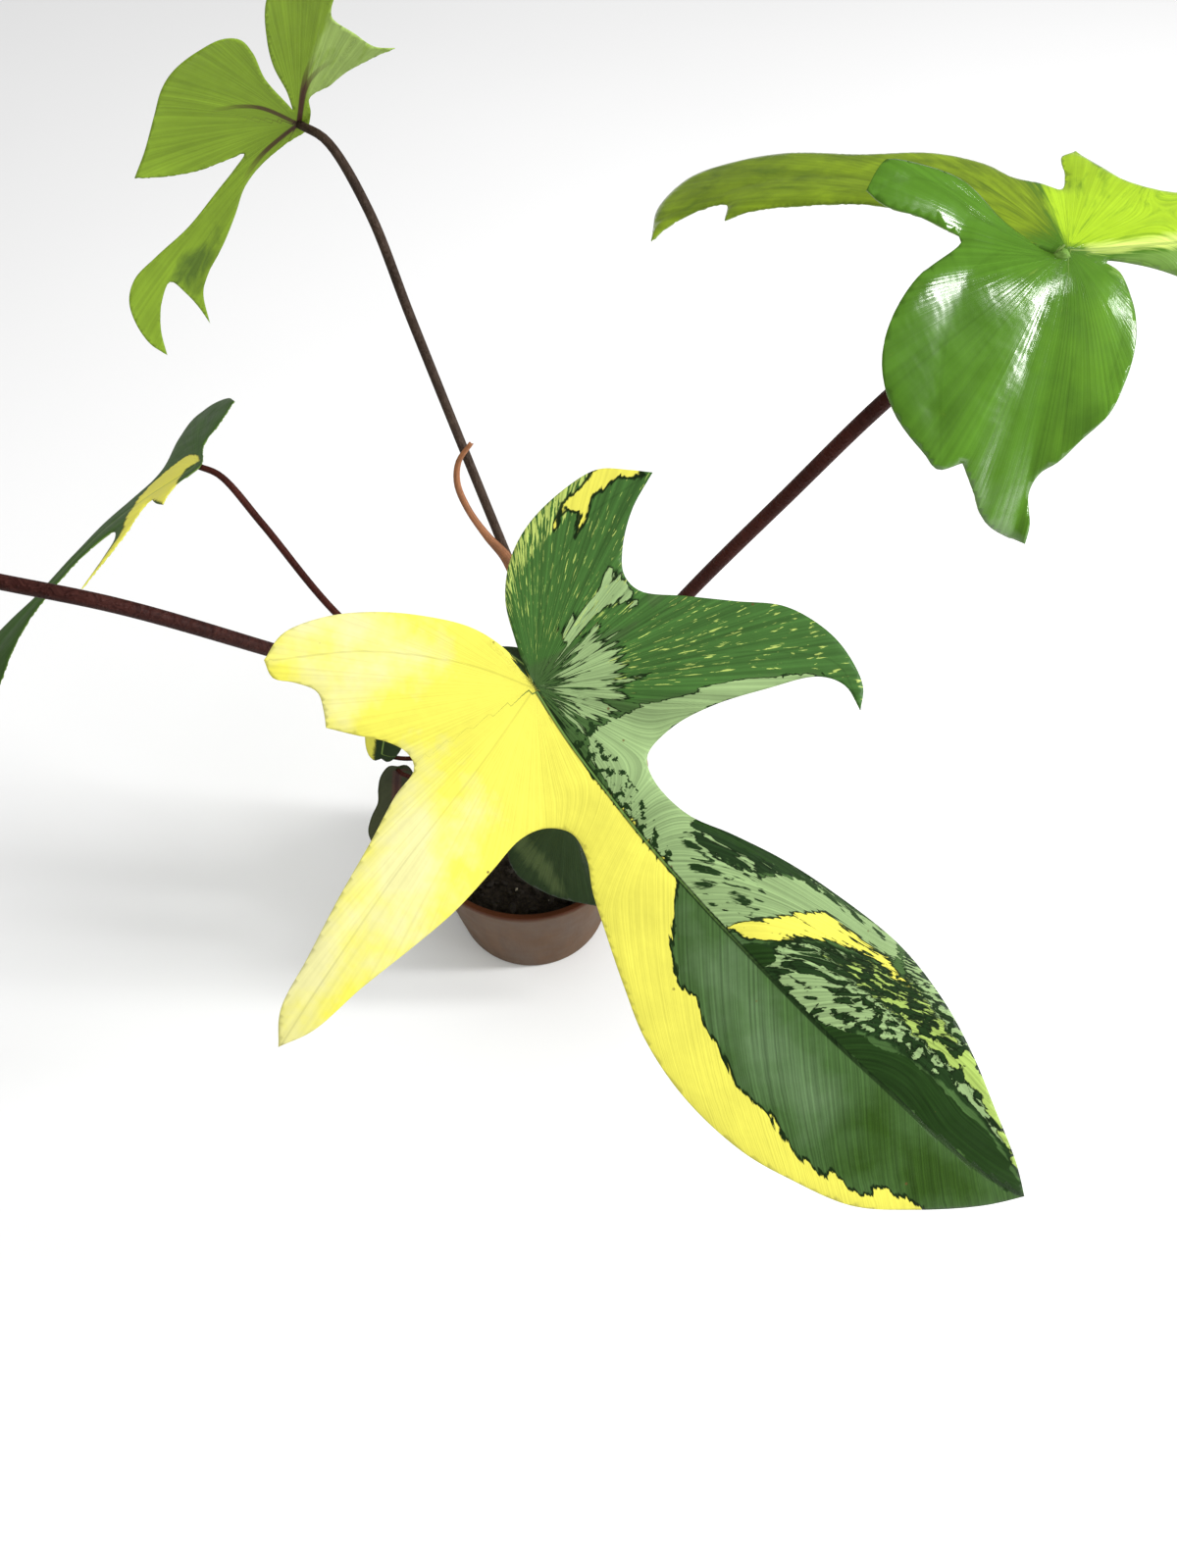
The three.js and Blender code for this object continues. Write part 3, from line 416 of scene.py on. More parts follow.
LEAF_1_MINT_FAN = [
    (0, 0), (0.025, -0.004), (0.026, 0.01), (0.024, 0.026), (0.01, 0.034), (-0.002, 0.03),
    (-0.007, 0.024), (-0.004, 0.01)
]
LEAF_1_HALF_MINT = [
    (0.066, -0.01), (0.1, -0.01), (0.104, -0.002), (0.1, 0.008), (0.092, 0.01), (0.084, 0.006),
    (0.076, 0.003), (0.07, 0.004), (0.066, 0.007)
]
LEAF_1_OUTER_DARK = [
    (0.063, 0.007), (0.07, 0.003), (0.076, 0.003), (0.084, 0.006), (0.092, 0.01), (0.097, 0.014),
    (0.103, 0.019), (0.11, 0.0215), (0.12, 0.0235), (0.133, 0.026), (0.128, 0.03), (0.1, 0.026),
    (0.07, 0.013)
]
LEAF_1_MINT_BAND = [
    (0.096, -0.004), (0.099, -0.009), (0.104, -0.002), (0.11, 0.006), (0.118, 0.013),
    (0.128, 0.018), (0.144, 0.022), (0.14, 0.028), (0.128, 0.026), (0.118, 0.023), (0.11, 0.022),
    (0.103, 0.019), (0.097, 0.014), (0.093, 0.008)
]
LEAF_1_YELLOW_STREAK = [
    (0.097, -0.009), (0.101, -0.002), (0.105, 0.003), (0.108, 0.008), (0.112, 0.013),
    (0.116, 0.017), (0.122, 0.0185), (0.132, 0.0195), (0.142, 0.0215), (0.154, 0.02),
    (0.146, 0.018), (0.136, 0.017), (0.13, 0.014), (0.124, 0.011), (0.118, 0.006), (0.113, 0.001),
    (0.109, -0.004), (0.104, -0.009)
]
LEAF_1_STREAKY_TIP = [
    (0.104, -0.01), (0.15, -0.01), (0.152, -0.002), (0.158, 0.001), (0.17, 0.004), (0.185, 0.006),
    (0.205, 0.007), (0.22, 0.005), (0.237, 0.001), (0.24, 0.006), (0.204, 0.018), (0.184, 0.025),
    (0.164, 0.029), (0.142, 0.028), (0.15, 0.02), (0.136, 0.017), (0.124, 0.011), (0.113, 0.001)
]
LEAF_1_STREAKY_MARGIN = [
    (0.15, 0.0115), (0.16, 0.013), (0.17, 0.014), (0.18, 0.0155), (0.18, 0.021), (0.19, 0.019),
    (0.204, 0.015), (0.224, 0.007), (0.237, 0.001), (0.222, 0.005), (0.208, 0.009), (0.195, 0.0115),
    (0.18, 0.0115), (0.165, 0.0108), (0.152, 0.01)
]
LEAF_1_DARK_WEDGE = [
    (0.138, -0.0096), (0.15, -0.004), (0.153, -0.001), (0.16, -0.001), (0.168, 0.003),
    (0.18, 0.005), (0.195, 0.0055), (0.21, 0.006), (0.222, 0.004), (0.238, 0), (0.23, -0.0035),
    (0.21, -0.006), (0.18, -0.008), (0.16, -0.009)
]
LEAF_1_TOP_LOBE = [
    (-0.006, 0.004), (-0.002, 0.016), (0.004, 0.03), (0.01, 0.044), (0.002, 0.048), (-0.012, 0.055),
    (-0.02, 0.08), (-0.045, 0.07), (-0.045, 0.03), (-0.03, 0.012), (-0.014, 0.004)
]
LEAF_1_TOP_OUTER = [
    (-0.014, 0.004), (-0.026, 0.02), (-0.029, 0.04), (-0.03, 0.066), (-0.05, 0.08), (-0.05, 0.01),
    (-0.028, 0.004)
]
LEAF_1_TOP_MINT = [
    (-0.009, 0.018), (-0.008, 0.035), (-0.013, 0.044), (-0.008, 0.047), (0.003, 0.044),
    (0.006, 0.042), (0, 0.038), (-0.003, 0.03), (-0.002, 0.016)
]
LEAF_1_TOP_YELLOW = [
    (-0.037, 0.066), (-0.036, 0.054), (-0.037, 0.048), (-0.033, 0.04), (-0.031, 0.04),
    (-0.033, 0.047), (-0.03, 0.05), (-0.027, 0.042), (-0.0255, 0.042), (-0.027, 0.05),
    (-0.03, 0.056), (-0.029, 0.063), (-0.028, 0.067), (-0.024, 0.073), (-0.03, 0.073)
]
LEAF_1_RIGHT_LOBE = [
    (0.008, 0.02), (0.024, 0.018), (0.035, 0.033), (0.044, 0.05), (0.06, 0.068), (0.084, 0.07),
    (0.074, 0.08), (0.05, 0.084), (0.03, 0.076), (0.008, 0.054)
]
LEAF_1_HIND_CREAM = [
    (-0.02, -0.014), (-0.03, -0.06), (-0.08, -0.07), (-0.08, -0.02), (-0.045, -0.006)
]
LEAF_1_SIDE_CREAM = [
    (-0.01, -0.045), (0.012, -0.04), (0.034, -0.052), (0.034, -0.145), (0, -0.145), (-0.014, -0.06)
]
LEAF_1_RIB_SPECKS = [
    (0.018, -0.005), (0.04, -0.008), (0.07, -0.011), (0.072, -0.005), (0.05, 0.001), (0.03, 0.006),
    (0.018, 0.008)
]
LEAF_1_LIGHT_BLOTCHES = [(0.118, -0.01), (0.15, -0.01), (0.151, -0.003), (0.14, 0.002), (0.125, 0)]
LEAF_1_DARK_BLOTCHES = [
    (0.11, -0.002), (0.126, 0.012), (0.14, 0.017), (0.16, 0.02), (0.184, 0.019), (0.182, 0.015),
    (0.16, 0.013), (0.15, 0.008), (0.13, 0.003)
]
LEAF_1_DARK_CORNER = [
    (0.104, -0.01), (0.109, -0.004), (0.113, -0.002), (0.117, -0.006), (0.115, -0.01)
]
# Where a painted sheen lies on leaf 1: a lighter grey-green that stands for the gloss's shine
LEAF_1_SHEEN = [
    (0.084, -0.013), (0.11, -0.011), (0.15, -0.011), (0.166, -0.02), (0.166, -0.038),
    (0.14, -0.042), (0.12, -0.037), (0.098, -0.029)
]
# Where painted shade darkens leaf 1 towards its tip
LEAF_1_TIP_SHADE = [
    (0.17, -0.009), (0.2, -0.007), (0.237, 0), (0.225, -0.018), (0.21, -0.028), (0.196, -0.037),
    (0.184, -0.042), (0.176, -0.034), (0.17, -0.022)
]
LEAF_1_OUTER_STRIP = [
    (0.066, 0.006), (0.08, 0.011), (0.095, 0.016), (0.112, 0.0203), (0.125, 0.0226),
    (0.137, 0.0246), (0.137, 0.0258), (0.125, 0.0242), (0.112, 0.022), (0.095, 0.0188),
    (0.08, 0.0135), (0.066, 0.008)
]
LEAF_1_TOP_ROWS = [
    (0.14, 0.028), (0.164, 0.026), (0.18, 0.022), (0.176, 0.02), (0.16, 0.0215), (0.146, 0.022)
]
LEAF_1_TIP_LIME = [
    (0.118, 0.004), (0.14, 0.006), (0.156, 0.008), (0.18, 0.009), (0.18, 0.021), (0.15, 0.024),
    (0.132, 0.016)
]
LEAF_3_PALE = [
    (-0.058, 0.017), (-0.03, 0.01), (-0.014, 0.004), (-0.01, -0.004), (-0.03, -0.012),
    (-0.06, -0.02)
]
# Where painted shade darkens leaf 3's lower fork
LEAF_3_SHADE = [
    (0.058, 0.012), (0.076, 0.022), (0.088, 0.025), (0.093, 0.014), (0.088, 0.009), (0.07, 0.008)
]
# Where painted shade darkens the left part of leaf 2's near lobe
LEAF_2_NEAR_LEFT = [
    (-0.012, -0.014), (-0.024, -0.02), (-0.036, -0.03), (-0.044, -0.044), (-0.046, -0.056),
    (-0.036, -0.062), (-0.03, -0.05), (-0.022, -0.036), (-0.014, -0.024)
]
# Where painted light brightens the right part of leaf 2's near lobe
LEAF_2_NEAR_RIGHT = [
    (0.002, -0.008), (0.014, -0.01), (0.018, -0.028), (0.016, -0.044), (0.006, -0.058), (0, -0.064),
    (-0.002, -0.04)
]
# Where leaf 2's own yellow-green lies, painted brighter for the light that shines through the blade
LEAF_2_CHARTREUSE = [
    (0, 0.001), (0.03, 0.002), (0.06, 0.003), (0.1, 0.003), (0.14, 0.002), (0.17, 0), (0.17, 0.04),
    (0.03, 0.04), (0.036, 0.06), (0.02, 0.06), (0.008, 0.034), (0.002, 0.014)
]
LEAF_2_BAND = [
    (0.006, -0.001), (0.03, -0.0015), (0.1, -0.001), (0.165, -0.0005), (0.14, 0.005), (0.1, 0.006),
    (0.06, 0.006), (0.03, 0.005), (0.006, 0.002)
]
LEAF_2_NEAR_TIP = [
    (0.014, -0.003), (0.03, -0.0015), (0.1, -0.001), (0.168, -0.001), (0.15, -0.02), (0.09, -0.035),
    (0.04, -0.025), (0.012, -0.008)
]
LEAF_2_FAR_HIND = [
    (0, 0.008), (0.006, 0.03), (0.004, 0.05), (-0.02, 0.075), (-0.06, 0.125), (-0.11, 0.11),
    (-0.11, 0.07), (-0.07, 0.06), (-0.04, 0.038), (-0.014, 0.008)
]
LEAF_2_HIND_STRIP = [
    (-0.037, 0.064), (-0.027, 0.068), (-0.015, 0.065), (-0.006, 0.057), (0, 0.047), (-0.003, 0.044),
    (-0.01, 0.05), (-0.022, 0.056), (-0.032, 0.057), (-0.04, 0.058)
]
LEAF_4_LIME = [
    (-0.003, -0.002), (-0.006, -0.012), (-0.005, -0.022), (0, -0.026), (0.01, -0.027),
    (0.02, -0.025), (0.03, -0.016), (0.038, -0.004), (0.045, 0.008), (0.05, 0.017), (0.056, 0.024),
    (0.066, 0.032), (0.086, 0.046), (0.072, 0.043), (0.059, 0.035), (0.049, 0.027), (0.04, 0.015),
    (0.033, 0.007), (0.028, 0.004), (0.028, 0.024), (0.021, 0.014), (0.015, 0.008), (0.012, 0.002),
    (0.008, -0.003), (0.004, -0.006), (0, -0.004)
]
LEAF_7_LIGHT = [
    (-0.008, -0.026), (0.002, -0.027), (0.012, -0.03), (0.024, -0.035), (0.03, -0.039),
    (0.02, -0.041), (0.008, -0.038), (-0.002, -0.037), (-0.009, -0.034)
]
LEAF_9_YELLOW = [(-0.006, 0.004), (0.04, 0.004), (0.05, 0.02), (-0.006, 0.02)]
LEAF_5_NEAR_HALF = [(-0.06, -0.1), (0.2, -0.1), (0.2, 0.006), (0, 0.004), (-0.06, 0.02)]


def whole_outline(half, length, width):
    """A half outline and its mirror image, at the size of the blade."""
    scaled = [[(x * length, y * width) for x, y in edge] for edge in half]
    mirrored = [[(x, -y) for x, y in reversed(edge)] for edge in reversed(scaled)]
    return scaled + mirrored
def straight_vein(length, depth, width=0.001):
    """A midrib that runs straight to the blade's tip."""
    return [(0, 0), (length / 2, 0), (length, 0)], depth, width


def paired_veins(line, depth, width):
    """A side vein on the left, and its mirror image on the right."""
    return [([(x, side * y) for x, y in line], depth, width) for side in (1, -1)]
# Leaves. A vein is (its line, the depth of its groove, the width of its groove). The first is the midrib.
# A paint is (name, how ragged its edge is, and its zones as (outline, share covered, softness)).
LEAF_1 = {
    "name": "leaf_1",
    "dotted": True,
    "flow_start": 0.03,
    "attach": (0.017, -0.106, 0.353),
    "midrib": (0.695, -0.603, -0.392),
    "upward": (0, -0.545, 0.839),
    "length": 0.228,
    "outline": LEAF_1_OUTLINE,
    "bends": LEAF_1_BENDS,
    "petiole_line": [(0.023, -0.002, 0.186), (0.027, -0.03, 0.24), (0.026, -0.066, 0.305),
                     (0.017, -0.09, 0.341)],
    "petiole_radius": 0.0025,
    "veins": [
        (LEAF_1_MIDRIB, 0.0006, 0.002),
        (LEAF_1_LEFT_HIND_VEIN, 0.0005, 0.003),
        (LEAF_1_LEFT_SIDE_VEIN, 0.0006, 0.003),
        (LEAF_1_RIGHT_SIDE_VEIN, 0.0006, 0.003),
        (LEAF_1_TOP_HIND_VEIN, 0.0006, 0.003),
    ],
    "paints": [
        # painted sheen: a lighter grey-green where the gloss would shine
        ("sheen_green", 0.4, [(LEAF_1_SHEEN, 0.75, 0.02)]),
        # painted shade: darker olive towards the tip
        ("tip_painted_shade", 0.4, [(LEAF_1_TIP_SHADE, 0.9, 0.02)]),
        ("mid_green", 0.3, [(LEAF_1_TOP_LOBE, 1.3, 0.004), (LEAF_1_RIGHT_LOBE, 1.3, 0.004)]),
        ("shadow_green", 0.2, [(LEAF_1_STREAKY_TIP, 1.3, 0.003), (LEAF_1_HALF_MINT, 1.3, 0.003),
                               (LEAF_1_MINT_FAN, 0.5, 0.01), (LEAF_1_OUTER_DARK, 1.3, 0.003),
                               (LEAF_1_TOP_MINT, 1.0, 0.004)]),
        ("mint", 0.04, [(LEAF_1_MINT_ROOT, 1.1, 0.003), (LEAF_1_MINT_FAN, 0.62, 0.018),
                        (LEAF_1_HALF_MINT, 0.85, 0.003), (LEAF_1_MINT_BAND, 1.0, 0.003),
                        (LEAF_1_STREAKY_TIP, 0.46, 0.003), (LEAF_1_LIGHT_BLOTCHES, 0.57, 0.003),
                        (LEAF_1_OUTER_DARK, 0.27, 0.003), (LEAF_1_TOP_MINT, 0.66, 0.003),
                        (LEAF_1_TOP_ROWS, 0.55, 0.003)]),
        ("blotch_green", 0.05, [(LEAF_1_DARK_BLOTCHES, 0.42, 0.004), (LEAF_1_HALF_MINT, 0.38, 0.003)]),
        ("lime", 0.05, [(LEAF_1_TOP_LOBE, 0.2, 0.006), (LEAF_1_TOP_OUTER, 0.52, 0.01),
                        (LEAF_1_RIGHT_LOBE, 0.22, 0.006)]),
        ("lime_olive", 0.05, [(LEAF_1_STREAKY_MARGIN, 0.72, 0.003), (LEAF_1_TIP_LIME, 0.36, 0.006)]),
        ("yellow", 0.05, [(LEAF_1_YELLOW, 1.3, 0.0055), (LEAF_1_YELLOW_STREAK, 0.8, 0.003),
                          (LEAF_1_TOP_YELLOW, 0.9, 0.004)]),
        ("cream", 0.35, [(LEAF_1_HIND_CREAM, 0.6, 0.03), (LEAF_1_SIDE_CREAM, 0.95, 0.05)]),
        ("wedge_green", 0.05, [(LEAF_1_DARK_WEDGE, 1.2, 0.003), (LEAF_1_DARK_CORNER, 0.9, 0.003),
                              (LEAF_1_OUTER_STRIP, 1.2, 0.0015)]),
        ("speck_green", 0.03, [(LEAF_1_RIB_SPECKS, 0.42, 0.003)]),
    ],
}
LEAF_2 = {
    "name": "leaf_2",
    "roll": 0.0012,
    "flow_start": 0.02,
    "attach": (0.173, -0.024, 0.454),
    "midrib": (0.99, 0.05, -0.05),
    "upward": (-0.05, -0.12, 0.99),
    "length": 0.165,
    "outline": LEAF_2_OUTLINE,
    "bends": LEAF_2_BENDS,
    "petiole_line": [(0.029, 0.001, 0.193), (0.076, -0.006, 0.288), (0.108, -0.01, 0.345),
                     (0.136, -0.013, 0.393), (0.162, -0.02, 0.434)],
    "petiole_radius": 0.0029,
    "veins": [
        (LEAF_2_MIDRIB, 0.0014, 0.004),
        (LEAF_2_NEAR_SIDE_VEINS[0], 0.0024, 0.0045),
        (LEAF_2_NEAR_SIDE_VEINS[1], 0.0028, 0.005),
        (LEAF_2_NEAR_SIDE_VEINS[2], 0.0012, 0.004),
        (LEAF_2_NEAR_SIDE_VEINS[3], 0.0014, 0.004),
        (LEAF_2_HIND_VEINS[0], 0.0016, 0.004),
        (LEAF_2_HIND_VEINS[1], 0.0024, 0.004),
        (LEAF_2_FAR_SIDE_VEIN, 0.0006, 0.003),
        (LEAF_2_FAR_HIND_VEIN, 0.0006, 0.003),
    ],
    "paints": [
        # painted shade on the near lobe's left part
        ("leaf_2_painted_shade", 0.4, [(LEAF_2_NEAR_LEFT, 0.9, 0.02)]),
        # painted light on the near lobe's right part
        ("leaf_2_painted_light", 0.4, [(LEAF_2_NEAR_RIGHT, 0.9, 0.02)]),
        ("olive", 0.6, [(LEAF_2_FAR_HIND, 1.3, 0.01)]),
        ("tip_green", 0.4, [(LEAF_2_NEAR_TIP, 1.3, 0.004)]),
        ("light_olive", 0.5, [(LEAF_2_HIND_STRIP, 0.9, 0.006), (LEAF_2_FAR_HIND, 0.55, 0.01)]),
        # the far half's own yellow-green, partly a painted glow of light shining through the blade
        ("chartreuse", 0.4, [(LEAF_2_CHARTREUSE, 0.95, 0.004)]),
        ("pale_band", 0.5, [(LEAF_2_BAND, 1.0, 0.004)]),
    ],
}
LEAF_3 = {
    "name": "leaf_3",
    "flow_start": 0.5,
    "attach": (-0.084, 0.149, 0.399),
    "midrib": (-0.62, 0.1, -0.78),
    "upward": (-0.2, 0.95, 0.25),
    "length": 0.125,
    "outline": LEAF_3_OUTLINE,
    "bends": LEAF_3_BENDS,
    "petiole_line": [(0.027, 0.006, 0.188), (-0.004, 0.045, 0.261), (-0.041, 0.101, 0.341),
                     (-0.057, 0.127, 0.375), (-0.072, 0.141, 0.396)],
    "petiole_radius": 0.0021,
    "veins": [
        (LEAF_3_TIP_VEIN, 0.0004, 0.0015),
        (LEAF_3_LEFT_VEIN, 0.0004, 0.0015),
        (LEAF_3_HIND_VEIN, 0.0004, 0.0015),
        (LEAF_3_LOW_HIND_VEIN, 0.0004, 0.0015),
    ],
    "paints": [
        ("leaf_3_light", 0.4, [(LEAF_3_PALE, 0.95, 0.006)]),
        # painted shade in the lower fork
        ("leaf_3_painted_shade", 0.4, [(LEAF_3_SHADE, 0.9, 0.01)]),
    ],
}
LEAF_4 = {
    "name": "leaf_4",
    "flow_start": 0.5,
    "attach": (-0.159, 0.109, 0.254),
    "midrib": (-0.69, -0.7, -0.19),
    "upward": (-0.48, 0.24, 0.84),
    "length": 0.16,
    "outline": LEAF_4_OUTLINE,
    "bends": LEAF_4_BENDS,
    "petiole_line": [(0.008, 0.002, 0.124), (-0.042, 0.03, 0.161), (-0.097, 0.068, 0.192),
                     (-0.13, 0.094, 0.229), (-0.148, 0.106, 0.25)],
    "petiole_radius": 0.0019,
    "veins": [
        (LEAF_4_MIDRIB, 0.0006, 0.002),
        (LEAF_4_HIND_VEIN, 0.0006, 0.002),
        (LEAF_4_THIN_VEIN, 0.0005, 0.002),
    ],
    "paints": [("yellow", 0.3, [(LEAF_4_LIME, 1.2, 0.003)])],
}
LEAF_5 = {
    "name": "leaf_5",
    "flow_start": 0.03,
    "attach": (-0.212, -0.068, 0.38),
    "midrib": (-0.72, -0.12, -0.68),
    "upward": (-0.66, -0.1, 0.74),
    "length": 0.17,
    "outline": whole_outline(FIVE_LOBED_HALF, 0.17, 0.17),
    "bends": EVEN_BENDS,
    "petiole_line": [(0.017, -0.003, 0.164), (-0.012, -0.022, 0.226), (-0.046, -0.044, 0.274),
                     (-0.08, -0.067, 0.325), (-0.12, -0.079, 0.362), (-0.16, -0.077, 0.373)],
    "petiole_radius": 0.0027,
    "veins": [
        ([(0, 0), (0.08, 0), (0.17, 0)], 0.0007, 0.002),
        *paired_veins([(0, 0), (0.015, 0.03), (0.045, 0.085)], 0.0006, 0.003),
        *paired_veins([(0, 0), (-0.02, 0.025), (-0.031, 0.06)], 0.0006, 0.003),
    ],
    "paints": [
        ("lime", 0.16, [(LEAF_5_NEAR_HALF, 0.35, 0.01)]),
        ("mint", 0.16, [(LEAF_5_NEAR_HALF, 0.25, 0.01)]),
    ],
}
LEAF_6 = {
    "name": "leaf_6",
    "flow_start": 0.004,
    "attach": (-0.063, -0.006, 0.156),
    "midrib": (-0.15, -0.35, -0.93),
    "upward": (-0.3, 0.9, -0.3),
    "length": 0.054,
    "outline": whole_outline(WAISTED_HALF, 0.054, 0.044),
    "bends": EVEN_BENDS,
    "petiole_line": [(0.008, -0.001, 0.112), (-0.016, -0.004, 0.132), (-0.044, -0.009, 0.148),
                     (-0.06, -0.009, 0.156)],
    "petiole_radius": 0.0013,
    "veins": [straight_vein(0.054, 0.0003)],
    "paints": [],
}
LEAF_7 = {
    "name": "leaf_7",
    "flow_start": 0.008,
    "attach": (0.024, -0.029, 0.163),
    "midrib": (0.72, -0.45, -0.28),
    "upward": (0, -0.35, 0.93),
    "length": 0.1,
    "outline": LEAF_7_OUTLINE,
    "bends": EVEN_BENDS,
    "petiole_line": [(0.008, -0.002, 0.116), (0.013, -0.014, 0.136), (0.02, -0.025, 0.155)],
    "petiole_radius": 0.0016,
    "veins": [straight_vein(0.1, 0.0005, 0.0015)],
    "paints": [("young_light", 0.4, [(LEAF_7_LIGHT, 0.9, 0.006)])],
}
LEAF_8 = {
    "name": "leaf_8",
    "flow_start": 0.002,
    "attach": (0.013, 0.014, 0.203),
    "midrib": (-0.7, 0.3, 0.6),
    "upward": (0.2, -0.5, 0.8),
    "length": 0.028,
    "outline": whole_outline(OVAL_HALF, 0.028, 0.028),
    "bends": EVEN_BENDS,
    "petiole_line": [(0.019, 0.005, 0.168), (0.009, 0.014, 0.184), (0.01, 0.015, 0.195)],
    "petiole_radius": 0.0015,
    "veins": [straight_vein(0.028, 0.0002)],
    "paints": [],
}
LEAF_9 = {
    "name": "leaf_9",
    "flow_start": 0.003,
    "attach": (-0.071, 0, 0.16),
    "midrib": (0.12, 0.85, 0.45),
    "upward": (-0.1, -0.45, 0.88),
    "length": 0.046,
    "outline": whole_outline(OVAL_HALF, 0.046, 0.034),
    "bends": EVEN_BENDS,
    "petiole_line": [(0.008, 0.002, 0.118), (-0.018, 0.003, 0.14), (-0.044, 0.002, 0.154),
                     (-0.061, 0, 0.157)],
    "petiole_radius": 0.0012,
    "veins": [straight_vein(0.046, 0.0003)],
    "paints": [("yellow", 0.3, [(LEAF_9_YELLOW, 1.2, 0.004)])],
}

# Dry sheaths, as centre lines from the stem outwards, with their half width at the foot
SHEATHS = {
    "cataphyll_1": ([(0.02, -0.001, 0.17), (0.014, -0.002, 0.19), (0.012, 0.006, 0.212),
                     (0.005, 0.027, 0.246), (-0.002, 0.037, 0.262), (-0.011, 0.042, 0.272),
                     (-0.019, 0.047, 0.284), (-0.023, 0.053, 0.293), (-0.022, 0.058, 0.301),
                     (-0.016, 0.061, 0.309)], 0.0035),
    "cataphyll_2": ([(0.025, 0, 0.178), (0.042, -0.002, 0.19), (0.056, -0.006, 0.188),
                     (0.061, -0.012, 0.181), (0.063, -0.017, 0.173), (0.06, -0.018, 0.166)], 0.0017),
}

# Colours, as linear red, green and blue
LIME = (0.45, 0.56, 0.13)
MID_GREEN = (0.05, 0.135, 0.026)
STREAK_GREEN = (0.058, 0.125, 0.032)
DEEP_GREEN = (0.006, 0.018, 0.003)
SHADOW_GREEN = (0.012, 0.035, 0.007)
TIP_GREEN = (0.15, 0.28, 0.05)
LEAF_2_GREEN = (0.075, 0.19, 0.014)
LEAF_3_GREEN = (0.205, 0.325, 0.022)
LEAF_4_GREEN = (0.05, 0.11, 0.02)
YOUNG_GREEN = (0.022, 0.04, 0.014)
YOUNG_UNDERSIDE = (0.03, 0.036, 0.01)
PALE_UNDERSIDE = (0.30, 0.42, 0.10)
RIB_LIGHT = (0.15, 0.28, 0.06)
VEIN_PURPLE = (0.06, 0.025, 0.015)
DOT_BROWN = (0.12, 0.07, 0.02)
PETIOLE_RED = (0.035, 0.007, 0.004)
PETIOLE_RED_FLECKS = (0.06, 0.016, 0.012)
PETIOLE_OLIVE = (0.03, 0.018, 0.012)
PETIOLE_OLIVE_FLECKS = (0.065, 0.045, 0.034)
PETIOLE_ROSE = (0.022, 0.006, 0.005)
PETIOLE_ROSE_FLECKS = (0.055, 0.018, 0.014)
STEM_BROWN = (0.05, 0.032, 0.016)
SHEATH_BROWN = (0.34, 0.13, 0.048)
POT_BROWN = (0.1, 0.053, 0.025)
POT_RIM = (0.085, 0.026, 0.01)
SOIL_DARK = (0.012, 0.009, 0.006)
BARK = (0.02, 0.014, 0.008)
PERLITE = (0.25, 0.22, 0.16)
FLOOR_WHITE = (0.85, 0.85, 0.85)

# Paints of the blades: their colours, the noise that breaks up each edge where it isn't the broad
# streaks, and the width of a dark outline, where there is one, on the scale of that noise
PAINT_COLOURS = {
    "mid_green": MID_GREEN,
    "lime": LIME,
    "mint": (0.26, 0.38, 0.16),
    "yellow": (0.71, 0.67, 0.09),
    "cream": (0.74, 0.71, 0.32),
    "wedge_green": (0.014, 0.042, 0.006),
    # painted sheen on leaf 1's dark half
    "sheen_green": (0.11, 0.19, 0.08),
    # painted shade towards leaf 1's tip
    "tip_painted_shade": (0.03, 0.075, 0.008),
    "lime_olive": (0.33, 0.46, 0.10),
    "shadow_green": SHADOW_GREEN,
    "blotch_green": SHADOW_GREEN,
    "speck_green": SHADOW_GREEN,
    "young_light": (0.055, 0.08, 0.028),
    # painted shade on leaf 2's near lobe, left part
    "leaf_2_painted_shade": (0.045, 0.12, 0.008),
    # painted light on leaf 2's near lobe, right part
    "leaf_2_painted_light": (0.12, 0.28, 0.022),
    "leaf_3_light": (0.31, 0.44, 0.11),
    # painted shade in leaf 3's lower fork
    "leaf_3_painted_shade": (0.08, 0.14, 0.015),
    "light_olive": (0.22, 0.33, 0.014),
    "olive": (0.10, 0.16, 0.012),
    "tip_green": TIP_GREEN,
    # own yellow-green, brightened by a painted glow of light shining through the blade
    "chartreuse": (0.36, 0.56, 0.02),
    "pale_band": (0.66, 0.80, 0.18),
}
PAINT_KINDS = {"lime": "fine", "speck_green": "specks", "cream": "cloud", "sheen_green": "cloud",
               "tip_painted_shade": "cloud", "leaf_2_painted_shade": "cloud", "leaf_2_painted_light": "cloud"}
OUTLINED_PAINTS = {"yellow": 0.38, "mint": 0.18, "lime_olive": 0.18}

# How main veins are drawn: the colours of the midrib's edge and core and of the side veins, their
# half widths, how strongly, and how far from the attachment. With no colour, a side vein is a shade.
DARK_VEINS = {"edge": DEEP_GREEN, "core": RIB_LIGHT, "side": None, "half_width": 0.0009,
              "side_half_width": 0.0004, "strength": 0.85, "reach": 0.3}
GREEN_VEINS = {"edge": MID_GREEN, "core": LIME, "side": None, "half_width": 0.0008,
               "side_half_width": 0.0005, "strength": 0.4, "reach": 0.3}
PURPLE_VEINS = {"edge": VEIN_PURPLE, "core": VEIN_PURPLE, "side": VEIN_PURPLE, "half_width": 0.0012,
                "side_half_width": 0.0012, "strength": 0.9, "reach": 0.036}
RED_VEINS = {"edge": VEIN_PURPLE, "core": PETIOLE_RED, "side": None, "half_width": 0.003,
             "side_half_width": 0.0005, "strength": 0.9, "reach": 0.1}


# Curves and outlines

